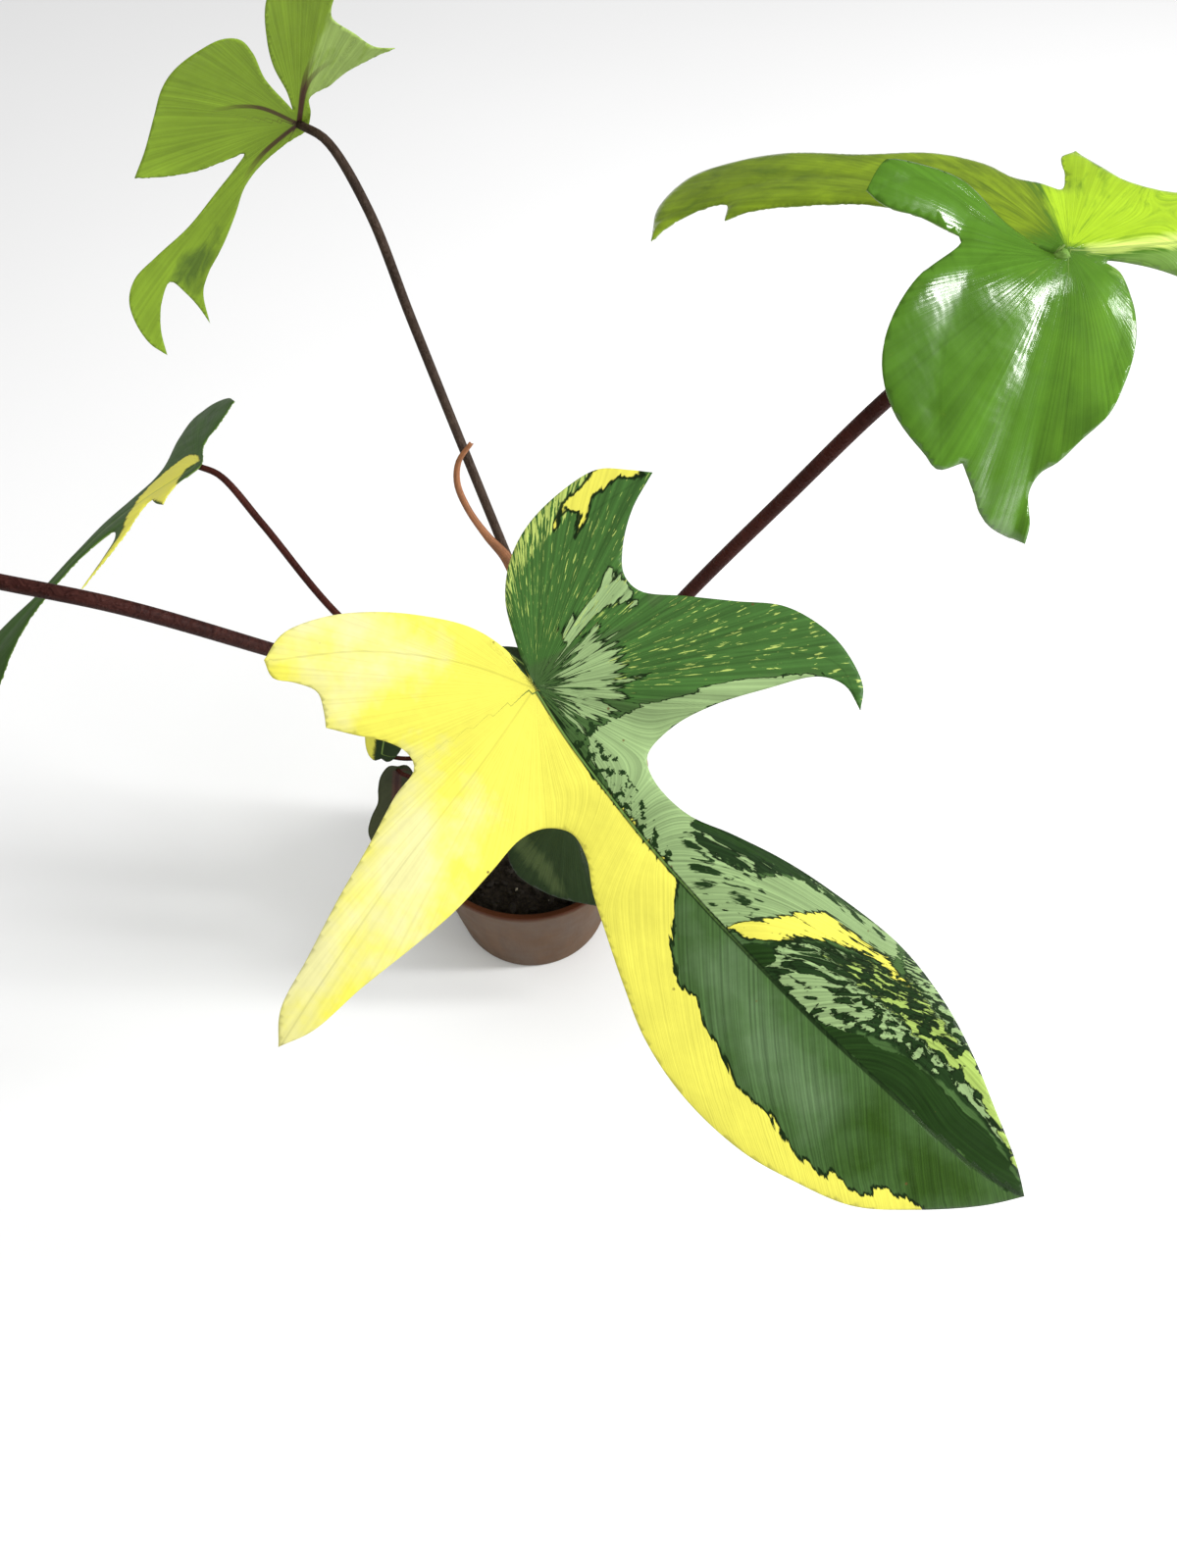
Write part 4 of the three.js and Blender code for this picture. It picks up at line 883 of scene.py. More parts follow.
def catmull_rom(points):
    """Many points on the smooth curve through the given points."""
    p = np.array(points, dtype=float)
    p = np.vstack([2 * p[0] - p[1], p, 2 * p[-1] - p[-2]])
    share = np.linspace(0, 1, CURVE_STEPS, endpoint=False)[:, None]
    found = []
    for i in range(1, len(p) - 2):
        x0, x1, x2, x3 = p[i - 1], p[i], p[i + 1], p[i + 2]
        gap0, gap1, gap2 = (math.sqrt(math.dist(a, b)) for a, b in ((x0, x1), (x1, x2), (x2, x3)))
        leave = ((x1 - x0) / gap0 - (x2 - x0) / (gap0 + gap1) + (x2 - x1) / gap1) * gap1
        arrive = ((x2 - x1) / gap1 - (x3 - x1) / (gap1 + gap2) + (x3 - x2) / gap2) * gap1
        square = -3 * x1 + 3 * x2 - 2 * leave - arrive
        cube = 2 * x1 - 2 * x2 + leave + arrive
        found.append(x1 + leave * share + square * share ** 2 + cube * share ** 3)
    found.append(p[-2][None, :])
    return np.vstack(found)


def evenly_spaced(points, count):
    """The given number of steps along a curve, all of one length."""
    points = np.asarray(points, dtype=float)
    reach = np.concatenate([[0], np.cumsum(np.linalg.norm(np.diff(points, axis=0), axis=1))])
    places = np.linspace(0, reach[-1], count + 1)
    return np.column_stack([np.interp(places, reach, points[:, k]) for k in range(points.shape[1])])


def outline_points(outline):
    """Points round a blade's edge, anticlockwise. Its edges are smooth curves that meet in corners."""
    rings = []
    for edge in outline:
        curve = catmull_rom(edge)
        length = np.linalg.norm(np.diff(curve, axis=0), axis=1).sum()
        steps = max(2, round(length / EDGE_STEP))
        rings.append(evenly_spaced(curve, steps)[:-1])
    ring = np.vstack(rings)
    x, y = ring[:, 0], ring[:, 1]
    area = 0.5 * np.sum(x * np.roll(y, -1) - np.roll(x, -1) * y)
    return ring if area > 0 else ring[::-1]


def distance_to_line(plan, line):
    """Each point's distance to the line, its side of it (1 is the left), and how far along it is."""
    curve = evenly_spaced(catmull_rom(line), LINE_STEPS)
    best = np.full(len(plan), np.inf)
    side = np.ones(len(plan))
    along = np.zeros(len(plan))
    passed = 0.0
    for a, b in zip(curve[:-1], curve[1:]):
        step = b - a
        length = math.hypot(*step)
        offset = plan - a
        share = np.clip((offset @ step) / length ** 2, 0, 1)
        gap = np.linalg.norm(offset - share[:, None] * step, axis=1)
        nearer = gap < best
        best = np.where(nearer, gap, best)
        turn = step[0] * offset[:, 1] - step[1] * offset[:, 0]
        side = np.where(nearer, np.sign(turn) + (turn == 0), side)
        along = np.where(nearer, passed + share * length, along)
        passed += length
    return best, side, along


def depth_inside(plan, zone):
    """Distance of each point of the plan to a zone's edge, positive inside it."""
    inside = np.zeros(len(plan), dtype=bool)
    nearest = np.full(len(plan), np.inf)
    x, y = plan[:, 0], plan[:, 1]
    for (ax, ay), (bx, by) in zip(zone, zone[1:] + zone[:1]):
        if ay != by:
            crossing = (bx - ax) * (y - ay) / (by - ay) + ax
            inside ^= ((ay > y) != (by > y)) & (x < crossing)
        step = np.array([bx - ax, by - ay])
        length = max(math.hypot(*step), SHORTEST_STEP)
        share = np.clip(((x - ax) * step[0] + (y - ay) * step[1]) / length ** 2, 0, 1)
        nearest = np.minimum(nearest, np.hypot(x - ax - share * step[0], y - ay - share * step[1]))
    return np.where(inside, nearest, -nearest)


# How a blade bends

def blade_axes(leaf):
    """The three directions of a blade at its attachment: along the midrib, to the left, and up."""
    along = np.array(leaf["midrib"], dtype=float)
    along /= np.linalg.norm(along)
    left = np.cross(np.array(leaf["upward"], dtype=float), along)
    left /= np.linalg.norm(left)
    return along, left, np.cross(along, left)


def bent(leaf, plan):
    """Where points of the flat plan lie in space."""
    angle = np.degrees(np.arctan2(plan[:, 1], plan[:, 0]))
    reach = np.hypot(plan[:, 0], plan[:, 1])
    table = np.array(leaf["bends"], dtype=float)
    after = np.clip(np.searchsorted(table[:, 0], angle), 1, len(table) - 1)
    start, end = table[after - 1], table[after]
    along = np.clip((angle - start[:, 0]) / (end[:, 0] - start[:, 0]), 0, 1)
    blend = (along + along ** 2 * (3 - 2 * along)) / 2
    turn, dip, droop = (start[:, k] + (end[:, k] - start[:, k]) * blend for k in (1, 2, 3))
    out = np.zeros(len(plan))
    down = np.zeros(len(plan))
    for step in range(BEND_STEPS):
        passed = reach * (step + 0.5) / BEND_STEPS
        slope = np.radians(dip) * (1 - np.exp(-passed / ATTACH_FLAT_RADIUS))
        slope += np.radians(droop) * passed / leaf["length"]
        out += np.cos(slope) * reach / BEND_STEPS
        down += np.sin(slope) * reach / BEND_STEPS
    heading = np.radians(angle + turn)
    forward, left, up = blade_axes(leaf)
    place = np.array(leaf["attach"]) + np.outer(np.cos(heading) * out, forward)
    return place + np.outer(np.sin(heading) * out, left) - np.outer(down, up)


def bent_normals(leaf, plan):
    """The upper face's normals, the plain upward direction close to the attachment."""
    dx = bent(leaf, plan + (NORMAL_PROBE, 0)) - bent(leaf, plan - (NORMAL_PROBE, 0))
    dy = bent(leaf, plan + (0, NORMAL_PROBE)) - bent(leaf, plan - (0, NORMAL_PROBE))
    normals = np.cross(dx, dy)
    normals /= np.linalg.norm(normals, axis=1)[:, None]
    close = np.hypot(plan[:, 0], plan[:, 1]) < 4 * NORMAL_PROBE
    normals[close] = blade_axes(leaf)[2]
    return normals


def blade_relief(leaf, plan):
    """Height of the upper face over the bent sheet: sunken veins, full fields and rolled edges."""
    sunk = np.zeros(len(plan))
    for line, depth, width in leaf["veins"]:
        gap, _, along = distance_to_line(plan, line)
        rounded = np.hypot(gap, VEIN_ROUNDING) - VEIN_ROUNDING
        sunk += depth * np.exp(-rounded / width) * (1 - np.exp(-along / (2 * width)))
    deepest = DEEPEST_SHARE * max(depth for _, depth, _ in leaf["veins"])
    sunk = deepest * (1 - np.exp(-sunk / deepest))
    edge = depth_inside(plan, [tuple(point) for point in outline_points(leaf["outline"])])
    return -sunk - leaf.get("roll", EDGE_ROLL) * np.exp(-np.abs(edge) / EDGE_ROLL_WIDTH)


def smooth_step(value, low, high):
    """A smooth rise from 0 at the low value to 1 at the high one."""
    share = np.clip((value - low) / (high - low), 0, 1)
    return share ** 2 * (3 - 2 * share)


def vein_flow(leaf, plan):
    """How far each point is along and across the fine veins, which radiate and then leave the midrib."""
    reach = np.hypot(plan[:, 0], plan[:, 1])
    angle = np.arctan2(plan[:, 1], plan[:, 0])
    gap, side, along = distance_to_line(plan, leaf["veins"][0][0])
    slant = np.where(side > 0, LEFT_SLANT, RIGHT_SLANT)
    curve = np.where(side > 0, LEFT_CURVE, RIGHT_CURVE)
    bend = slant * gap + curve * gap ** 3
    start = leaf["flow_start"]
    tip = smooth_step(plan[:, 0], start, 2 * start + FLOW_BLEND)
    tip *= 1 - smooth_step(np.abs(angle), TIP_ANGLE, TIP_ANGLE + TIP_ANGLE_BLEND)
    turned = smooth_step(along, ALONG_MIDRIB_FROM, ALONG_MIDRIB_TO) * (side > 0)
    tip_run = (1 - turned) * (gap + bend) + turned * along
    tip_across = (1 - turned) * (along - bend) + turned * (ALONG_MIDRIB_START - gap)
    run = (1 - tip) * reach + tip * tip_run
    across = (1 - tip) * angle * RADIAL_REACH + tip * tip_across
    return np.column_stack([run, across])


def paint_amount(plan, zones):
    """How much of the paint covers each point, as the share that its streaks are compared with."""
    amount = np.full(len(plan), PAINT_NONE)
    for zone, share, softness in zones:
        inside = np.clip(0.5 + depth_inside(plan, zone) / softness, 0, 1)
        amount = np.maximum(amount, PAINT_NONE + (share - PAINT_NONE) * inside)
    return amount


# Working with the mesh tools

def deselect_all():
    bpy.ops.object.select_all(action="DESELECT")


def only(piece):
    """Makes the piece the selected and active one."""
    deselect_all()
    piece.select_set(True)
    bpy.context.view_layer.objects.active = piece


def named(name):
    """The newest piece, named, with its mesh named after it."""
    piece = bpy.context.object
    piece.name = name
    piece.data.name = name
    return piece


def coordinates(mesh):
    flat = np.empty(len(mesh.vertices) * 3)
    mesh.vertices.foreach_get("co", flat)
    return flat.reshape(-1, 3)


def set_coordinates(mesh, places):
    mesh.vertices.foreach_set("co", np.ascontiguousarray(places, dtype=float).ravel())
    mesh.update()


def set_numbers(mesh, name, values):
    layer = mesh.attributes.new(name, "FLOAT", "POINT")
    layer.data.foreach_set("value", np.ascontiguousarray(values, dtype=float))


def set_vectors(mesh, name, values):
    layer = mesh.attributes.new(name, "FLOAT_VECTOR", "POINT")
    layer.data.foreach_set("vector", np.ascontiguousarray(values, dtype=float).ravel())


def apply_place(piece):
    only(piece)
    bpy.ops.object.transform_apply(location=True, rotation=True, scale=True)


def finish_piece(piece, node, smooth=True):
    """Shades the piece, seats it on the plant's one body and lets it stand for its node."""
    only(piece)
    if smooth:
        bpy.ops.object.shade_smooth()
    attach(piece, "root")
    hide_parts(node)


@contextmanager
def editing():
    """Edit mode with all of the active piece selected, and object mode again afterwards."""
    bpy.ops.object.mode_set(mode="EDIT")
    bpy.ops.mesh.select_all(action="SELECT")
    yield
    bpy.ops.object.mode_set(mode="OBJECT")


def face_outwards():
    bpy.ops.mesh.select_all(action="SELECT")
    bpy.ops.mesh.normals_make_consistent(inside=False)


def thicken(piece, thickness, offset, **settings):
    """Gives a sheet its thickness: all of it below the sheet at offset -1, half of it at 0."""
    only(piece)
    wall = piece.modifiers.new("Thickness", "SOLIDIFY")
    wall.thickness = thickness
    wall.offset = offset
    for name, value in settings.items():
        setattr(wall, name, value)
    bpy.ops.object.modifier_apply(modifier=wall.name)


def coat(piece, finish):
    piece.data.materials.clear()
    piece.data.materials.append(finish)


def cut_into_cells(piece, cell):
    """Cuts a flat piece along evenly spaced lines in x and y."""
    places = coordinates(piece.data)
    only(piece)
    with editing():
        for axis in (0, 1):
            normal = (1, 0, 0) if axis == 0 else (0, 1, 0)
            place = places[:, axis].min() + CELL_START * cell
            while place < places[:, axis].max():
                bpy.ops.mesh.select_all(action="SELECT")
                bpy.ops.mesh.bisect(plane_co=[place * part for part in normal], plane_no=normal)
                place += cell


def flat_blade(leaf):
    """The blade's plan as a flat sheet of small cells."""
    ring = outline_points(leaf["outline"])
    bpy.ops.mesh.primitive_circle_add(vertices=len(ring), radius=leaf["length"], fill_type="NGON")
    piece = named(leaf["name"] + "_sheet")
    set_coordinates(piece.data, np.column_stack([ring, np.zeros(len(ring))]))
    cut_into_cells(piece, CELL)
    return piece


def store_plan(mesh, leaf, plan):
    """Stores what the blade's finishes read: its plan, the fine veins' course, main veins and paints."""
    flat = np.zeros(len(plan))
    set_vectors(mesh, "plan", np.column_stack([plan, flat]))
    set_vectors(mesh, "flow", np.column_stack([vein_flow(leaf, plan), flat]))
    for index, (line, _, _) in enumerate(leaf["veins"]):
        gap, side, along = distance_to_line(plan, line)
        set_numbers(mesh, f"vein_{index}", np.where(along > 0, gap * side, np.maximum(gap, OFF_VEIN)))
    for name, _, zones in leaf["paints"]:
        set_numbers(mesh, name, paint_amount(plan, zones))


def make_blade(leaf, upper_finish, under_finish):
    """A blade, shaped and painted in its flat plan, then bent, and thickened downwards."""
    piece = flat_blade(leaf)
    mesh = piece.data
    plan = coordinates(mesh)[:, :2]
    store_plan(mesh, leaf, plan)
    height = BLADE_THICKNESS / 2 + blade_relief(leaf, plan)
    set_coordinates(mesh, bent(leaf, plan) + bent_normals(leaf, plan) * height[:, None])
    mesh.materials.append(upper_finish)
    mesh.materials.append(under_finish)
    thicken(piece, BLADE_THICKNESS, -1, use_even_offset=True, thickness_clamp=1, material_offset=1,
            material_offset_rim=1)
    piece.name = leaf["name"] + "_leaf_blade"
    finish_piece(piece, leaf["name"] + "_blade")


def make_rod(name, line, radii, steps):
    """A round rod along a smooth line, with its radius given at even places along it."""
    centres = evenly_spaced(catmull_rom(line), steps)
    bpy.ops.curve.primitive_nurbs_path_add()
    piece = bpy.context.object
    piece.name = name
    curve = piece.data
    curve.splines.clear()
    spline = curve.splines.new("POLY")
    spline.points.add(len(centres) - 1)
    places = np.linspace(0, 1, len(centres))
    thickness = np.interp(places, np.linspace(0, 1, len(radii)), radii)
    for point, centre, radius in zip(spline.points, centres, thickness):
        point.co = (*centre, 1)
        point.radius = radius / radii[0]
    curve.bevel_mode = "ROUND"
    curve.bevel_depth = radii[0]
    curve.bevel_resolution = ROD_SIDES // 4 - 1
    curve.use_fill_caps = True
    only(piece)
    bpy.ops.object.convert(target="MESH")
    piece = named(name)
    apply_place(piece)
    with editing():
        bpy.ops.mesh.remove_doubles(threshold=ROD_WELD)
        face_outwards()
    return piece


def set_along(piece, line):
    """Stores how far each point is along the line, and how far round it is."""
    centres = evenly_spaced(catmull_rom(line), ALONG_STEPS)
    places = coordinates(piece.data)
    gaps = np.linalg.norm(places[:, None, :] - centres[None, :, :], axis=2)
    nearest = gaps.argmin(axis=1)
    offset = places - centres[nearest]
    round_about = np.arctan2(offset[:, 2], offset[:, 0] + offset[:, 1])
    length = np.linalg.norm(np.diff(centres, axis=0), axis=1).sum()
    reach = nearest / ALONG_STEPS
    set_vectors(piece.data, "along", np.column_stack([reach * length, round_about, np.zeros(len(places))]))
    set_numbers(piece.data, "reach", reach)


def make_petiole(leaf, finish):
    """A petiole, a little thicker at its foot, cut off flat just below the blade."""
    upward = blade_axes(leaf)[2]
    end = np.array(leaf["attach"]) - upward * PETIOLE_END_BELOW
    line = leaf["petiole_line"] + [tuple(end)]
    radii = [leaf["petiole_radius"] * share for share in PETIOLE_SHAPE]
    piece = make_rod(leaf["name"] + "_leaf_petiole", line, radii, PETIOLE_STEPS)
    with editing():
        bpy.ops.mesh.bisect(plane_co=end, plane_no=upward, clear_outer=True, use_fill=True)
    set_along(piece, line)
    coat(piece, finish)
    finish_piece(piece, leaf["name"] + "_petiole")


def make_stem(finish):
    """The leaning stem, with a swollen ring at each node."""
    radii = []
    for i in range(STEM_STEPS + 1):
        share = i / STEM_STEPS
        ring = sum(math.exp(-((share - place) / STEM_RING_WIDTH) ** 2) for place in STEM_RINGS)
        radii.append(STEM_RADIUS * (STEM_WAIST + (1 - STEM_WAIST) * min(ring, 1)))
    radii[-1] = STEM_RADIUS * STEM_TIP_SHARE
    piece = make_rod("climbing_stem", STEM_LINE, radii, STEM_STEPS)
    set_along(piece, STEM_LINE)
    coat(piece, finish)
    finish_piece(piece, "stem")


def make_sheath(name, line, half_width, finish):
    """A dry sheath: a narrowing strip, hollow across, with a slight wave in its width and curl."""
    bpy.ops.mesh.primitive_grid_add(x_subdivisions=SHEATH_ACROSS, y_subdivisions=SHEATH_STEPS, size=1)
    piece = named(name + "_dry_sheath")
    mesh = piece.data
    grid = coordinates(mesh)
    centres = evenly_spaced(catmull_rom(line), SHEATH_STEPS)
    count = np.rint((grid[:, 1] + 0.5) * SHEATH_STEPS).astype(int)
    share = count / SHEATH_STEPS
    forward = np.gradient(centres, axis=0)
    forward /= np.linalg.norm(forward, axis=1)[:, None]
    across = np.cross(forward, SHEATH_BACK)
    across /= np.linalg.norm(across, axis=1)[:, None]
    hollow = np.cross(forward, across)
    wave = 1 + SHEATH_WAVE * np.sin(share * SHEATH_WAVE_TURN)
    width = half_width * (1 - SHEATH_TAPER * share ** 2) * wave
    curl = SHEATH_CURL + SHEATH_CURL_CHANGE * np.sin(share * SHEATH_CURL_TURN)
    turn = (grid[:, 0] * 2) * curl
    aside = np.sin(turn) / curl * width
    lift = (1 - np.cos(turn)) / curl * width
    set_coordinates(mesh, centres[count] + across[count] * aside[:, None] + hollow[count] * lift[:, None])
    set_vectors(mesh, "along", np.column_stack([grid[:, 0] * half_width * 2, share, 0 * share]))
    coat(piece, finish)
    thicken(piece, SHEATH_THICKNESS, 0)
    finish_piece(piece, name)


# Pot and soil

def pot_profile():
    """The pot's section, from the axis under the floor, up the wall, over the lip and down again."""
    foot, lip, rounding = POT_FOOT_RADIUS, POT_LIP_RADIUS, LIP_ROUNDING
    wall_top = lip - LIP_OVERHANG
    lip_inner = lip - POT_WALL - LIP_OVERHANG
    foot_inner = foot - POT_WALL
    lip_bottom = POT_HEIGHT - LIP_HEIGHT
    return [
        (0, FOOT_RECESS),
        (foot - FOOT_RING_WIDTH, FOOT_RECESS),
        (foot - FOOT_RING_WIDTH + FOOT_RECESS, 0),
        (foot - FOOT_ROUNDING, 0),
        (foot - 0.3 * FOOT_ROUNDING, 0.3 * FOOT_ROUNDING),
        (foot, FOOT_ROUNDING),
        (wall_top - 0.2 * rounding, lip_bottom - 0.6 * rounding),
        (wall_top + 0.2 * rounding, lip_bottom - 0.1 * rounding),
        (lip - 0.4 * rounding, lip_bottom + 0.2 * rounding),
        (lip, lip_bottom + 0.8 * rounding),
        (lip, POT_HEIGHT - rounding),
        (lip - 0.3 * rounding, POT_HEIGHT - 0.3 * rounding),
        (lip - rounding, POT_HEIGHT),
        (lip_inner + 0.6 * rounding, POT_HEIGHT),
        (lip_inner + 0.1 * rounding, POT_HEIGHT - 0.3 * rounding),
        (lip_inner, POT_HEIGHT - rounding),
        (foot_inner + 0.6 * rounding, FLOOR_THICKNESS + 0.8 * rounding),
        (foot_inner - 0.6 * rounding, FLOOR_THICKNESS),
        (0, FLOOR_THICKNESS),
    ]


def cut_drain_hole(piece, index):
    angle = 2 * math.pi * (index + 0.5) / DRAIN_HOLES
    place = (DRAIN_RING_RADIUS * math.cos(angle), DRAIN_RING_RADIUS * math.sin(angle), 0)
    bpy.ops.mesh.primitive_cylinder_add(radius=DRAIN_HOLE_RADIUS, depth=4 * FLOOR_THICKNESS,
                                        location=place)
    cutter = bpy.context.object
    only(piece)
    hole = piece.modifiers.new("Drain hole", "BOOLEAN")
    hole.object = cutter
    hole.operation = "DIFFERENCE"
    bpy.ops.object.modifier_apply(modifier=hole.name)
    bpy.data.objects.remove(cutter)


def make_pot(finish):
    """The pot, its section spun round the axis, with drain holes cut through its floor."""
    profile = pot_profile()
    bpy.ops.mesh.primitive_circle_add(vertices=len(profile), radius=POT_LIP_RADIUS, fill_type="NOTHING")
    piece = named("nursery_pot")
    set_coordinates(piece.data, [(r, 0, z) for r, z in profile])
    only(piece)
    with editing():
        bpy.ops.mesh.select_all(action="DESELECT")
    for edge in piece.data.edges:
        edge.select = set(edge.vertices) == {0, len(profile) - 1}
    bpy.ops.object.mode_set(mode="EDIT")
    bpy.ops.mesh.select_mode(type="EDGE")
    bpy.ops.mesh.delete(type="EDGE_FACE")
    bpy.ops.mesh.select_mode(type="VERT")
    bpy.ops.mesh.select_all(action="SELECT")
    bpy.ops.mesh.spin(steps=POT_SIDES, angle=2 * math.pi, center=(0, 0, 0), axis=(0, 0, 1))
    bpy.ops.mesh.select_all(action="SELECT")
    bpy.ops.mesh.remove_doubles(threshold=POT_WELD)
    face_outwards()
    bpy.ops.object.mode_set(mode="OBJECT")
    for index in range(DRAIN_HOLES):
        cut_drain_hole(piece, index)
    coat(piece, finish)
    only(piece)
    bpy.ops.object.shade_smooth_by_angle(angle=math.radians(POT_SMOOTH_ANGLE))
    finish_piece(piece, "pot", smooth=False)


def soil_height(x, y):
    """Lumps of the soil, as crossed waves of several lengths."""
    lump = 0.0
    for fast_x, fast_y, phase, height in SOIL_WAVES:
        lump += height * math.sin(fast_x * x + fast_y * y + phase)
    return lump


def make_soil(finish):
    """The filled pot's soil: a lumpy top, drawn down along the wall to the floor."""
    bpy.ops.mesh.primitive_circle_add(vertices=SOIL_SIDES, radius=SOIL_RADIUS, fill_type="NGON")
    piece = named("potting_mix")
    cut_into_cells(piece, SOIL_CELL)
    mesh = piece.data
    places = coordinates(mesh)
    for place in places:
        rim = math.hypot(place[0], place[1]) / SOIL_RADIUS
        place[2] = SOIL_TOP + soil_height(place[0], place[1]) - SOIL_SETTLED * rim ** SOIL_RIM_POWER
    set_coordinates(mesh, places)
    only(piece)
    with editing():
        bpy.ops.mesh.region_to_loop()
        bpy.ops.mesh.extrude_region_move()
        bpy.ops.transform.resize(value=(SOIL_FOOT_SHARE, SOIL_FOOT_SHARE, 0))
        bpy.ops.mesh.edge_face_add()
    for vertex in mesh.vertices:
        if vertex.select:
            vertex.co.z = FLOOR_THICKNESS + SOIL_OVER_FLOOR
    with editing():
        face_outwards()
    coat(piece, finish)
    finish_piece(piece, "soil")


def make_chip(index, thickness, rng):
    """One rough chip about a metre in radius, its corners pushed about."""
    bpy.ops.mesh.primitive_ico_sphere_add(subdivisions=1, radius=1)
    chip = named(f"chip_{index}")
    for vertex in chip.data.vertices:
        push = 1 + rng.uniform(-CHIP_UNEVENNESS, CHIP_UNEVENNESS)
        vertex.co = (vertex.co.x * push, vertex.co.y * CHIP_WIDTH * push, vertex.co.z * thickness * push)
    return chip


def strewn_copy(shape, size, rng):
    """A copy of a chip's shape, scaled down and turned, somewhere on the soil."""
    chip = shape.copy()
    chip.data = shape.data.copy()
    bpy.context.collection.objects.link(chip)
    reach = CHIP_RING * math.sqrt(rng.uniform(0.01, 1))
    angle = rng.uniform(0, 2 * math.pi)
    x, y = reach * math.cos(angle), reach * math.sin(angle)
    chip.location = (x, y, SOIL_TOP + soil_height(x, y) + rng.uniform(0, CHIP_LIFT) * size)
    chip.rotation_euler = (rng.uniform(-CHIP_TILT, CHIP_TILT), rng.uniform(-CHIP_TILT, CHIP_TILT),
                           rng.uniform(0, CHIP_TURN))
    chip.scale = [size * rng.uniform(*CHIP_GROWTH)] * 3
    return chip


def make_chips(name, count, size, thickness, finish, seed):
    """Chips strewn over the soil, each a turned copy of one of a few shapes, joined as one piece."""
    rng = random.Random(seed)
    deselect_all()
    shapes = [make_chip(index, thickness, rng) for index in range(CHIP_SHAPES)]
    chips = [strewn_copy(shapes[index % CHIP_SHAPES], size, rng) for index in range(count)]
    for shape in shapes:
        bpy.data.objects.remove(shape)
    deselect_all()
    for chip in chips:
        chip.select_set(True)
    bpy.context.view_layer.objects.active = chips[0]
    bpy.ops.object.join()
    piece = named(name)
    apply_place(piece)
    coat(piece, finish)
    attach(piece, "root")


# Finishes

class Finish:
    """A material whose nodes are added by short calls."""

    def __init__(self, name, roughness, shine=0.5):
        self.material = bpy.data.materials.new(name)
        self.material.use_nodes = True
        self.tree = self.material.node_tree
        self.surface = self.tree.nodes["Principled BSDF"]
        self.surface.inputs["Roughness"].default_value = roughness
        self.surface.inputs["Specular IOR Level"].default_value = shine

    def node(self, kind, *values, **settings):
        node = self.tree.nodes.new(kind)
        for key, value in settings.items():
            setattr(node, key, value)
        for socket, value in zip(node.inputs, values):
            self.feed(socket, value)
        return node

    def feed(self, socket, value):
        if isinstance(value, bpy.types.NodeSocket):
            self.tree.links.new(value, socket)
        elif value is not None:
            socket.default_value = (*value, 1) if socket.type == "RGBA" else value

    def number(self, name):
        return self.node("ShaderNodeAttribute", attribute_name=name).outputs["Fac"]

    def place(self, name=None):
        """Object coordinates, or a vector that is stored on the piece."""
        if name is None:
            return self.node("ShaderNodeTexCoord").outputs["Object"]
        return self.node("ShaderNodeAttribute", attribute_name=name).outputs["Vector"]

    def stretched(self, place, scale, shift=(0, 0, 0)):
        return self.node("ShaderNodeMapping", place, shift, (0, 0, 0), scale).outputs[0]

    def noise(self, place, scale, detail=2.0, roughness=0.5, distortion=0.0):
        node = self.node("ShaderNodeTexNoise")
        node.inputs["Distortion"].default_value = distortion
        self.feed(node.inputs["Vector"], place)
        node.inputs["Scale"].default_value = scale
        node.inputs["Detail"].default_value = detail
        node.inputs["Roughness"].default_value = roughness
        return node.outputs[0]

    def cells(self, place, scale):
        node = self.node("ShaderNodeTexVoronoi")
        self.feed(node.inputs["Vector"], place)
        node.inputs["Scale"].default_value = scale
        return node.outputs["Distance"]

    def sums(self, operation, *values):
        return self.node("ShaderNodeMath", *values, operation=operation).outputs[0]

    def length(self, place):
        return self.node("ShaderNodeVectorMath", place, operation="LENGTH").outputs["Value"]

    def ramp(self, value, low, high, to_low=0.0, to_high=1.0):
        return self.node("ShaderNodeMapRange", value, low, high, to_low, to_high).outputs[0]

    def mix(self, share, first, second):
        node = self.node("ShaderNodeMix", data_type="RGBA")
        self.feed(node.inputs[0], share)
        self.feed(node.inputs[6], first)
        self.feed(node.inputs[7], second)
        return node.outputs[2]

    def shaded(self, colour, brightness):
        """The colour, made lighter or darker by a number near 1."""
        node = self.node("ShaderNodeVectorMath", operation="SCALE")
        self.feed(node.inputs[0], colour)
        self.feed(node.inputs["Scale"], brightness)
        return node.outputs[0]

    def bump(self, height, distance, below=None):
        node = self.node("ShaderNodeBump")
        node.inputs["Distance"].default_value = distance
        self.feed(node.inputs["Height"], height)
        if below is not None:
            self.feed(node.inputs["Normal"], below)
        return node.outputs[0]

    def done(self, colour, normal=None, roughness=None):
        self.feed(self.surface.inputs["Base Color"], colour)
        if normal is not None:
            self.feed(self.surface.inputs["Normal"], normal)
        if roughness is not None:
            self.feed(self.surface.inputs["Roughness"], roughness)
        return self.material


def toned(colour, share):
    return [share * part for part in colour]


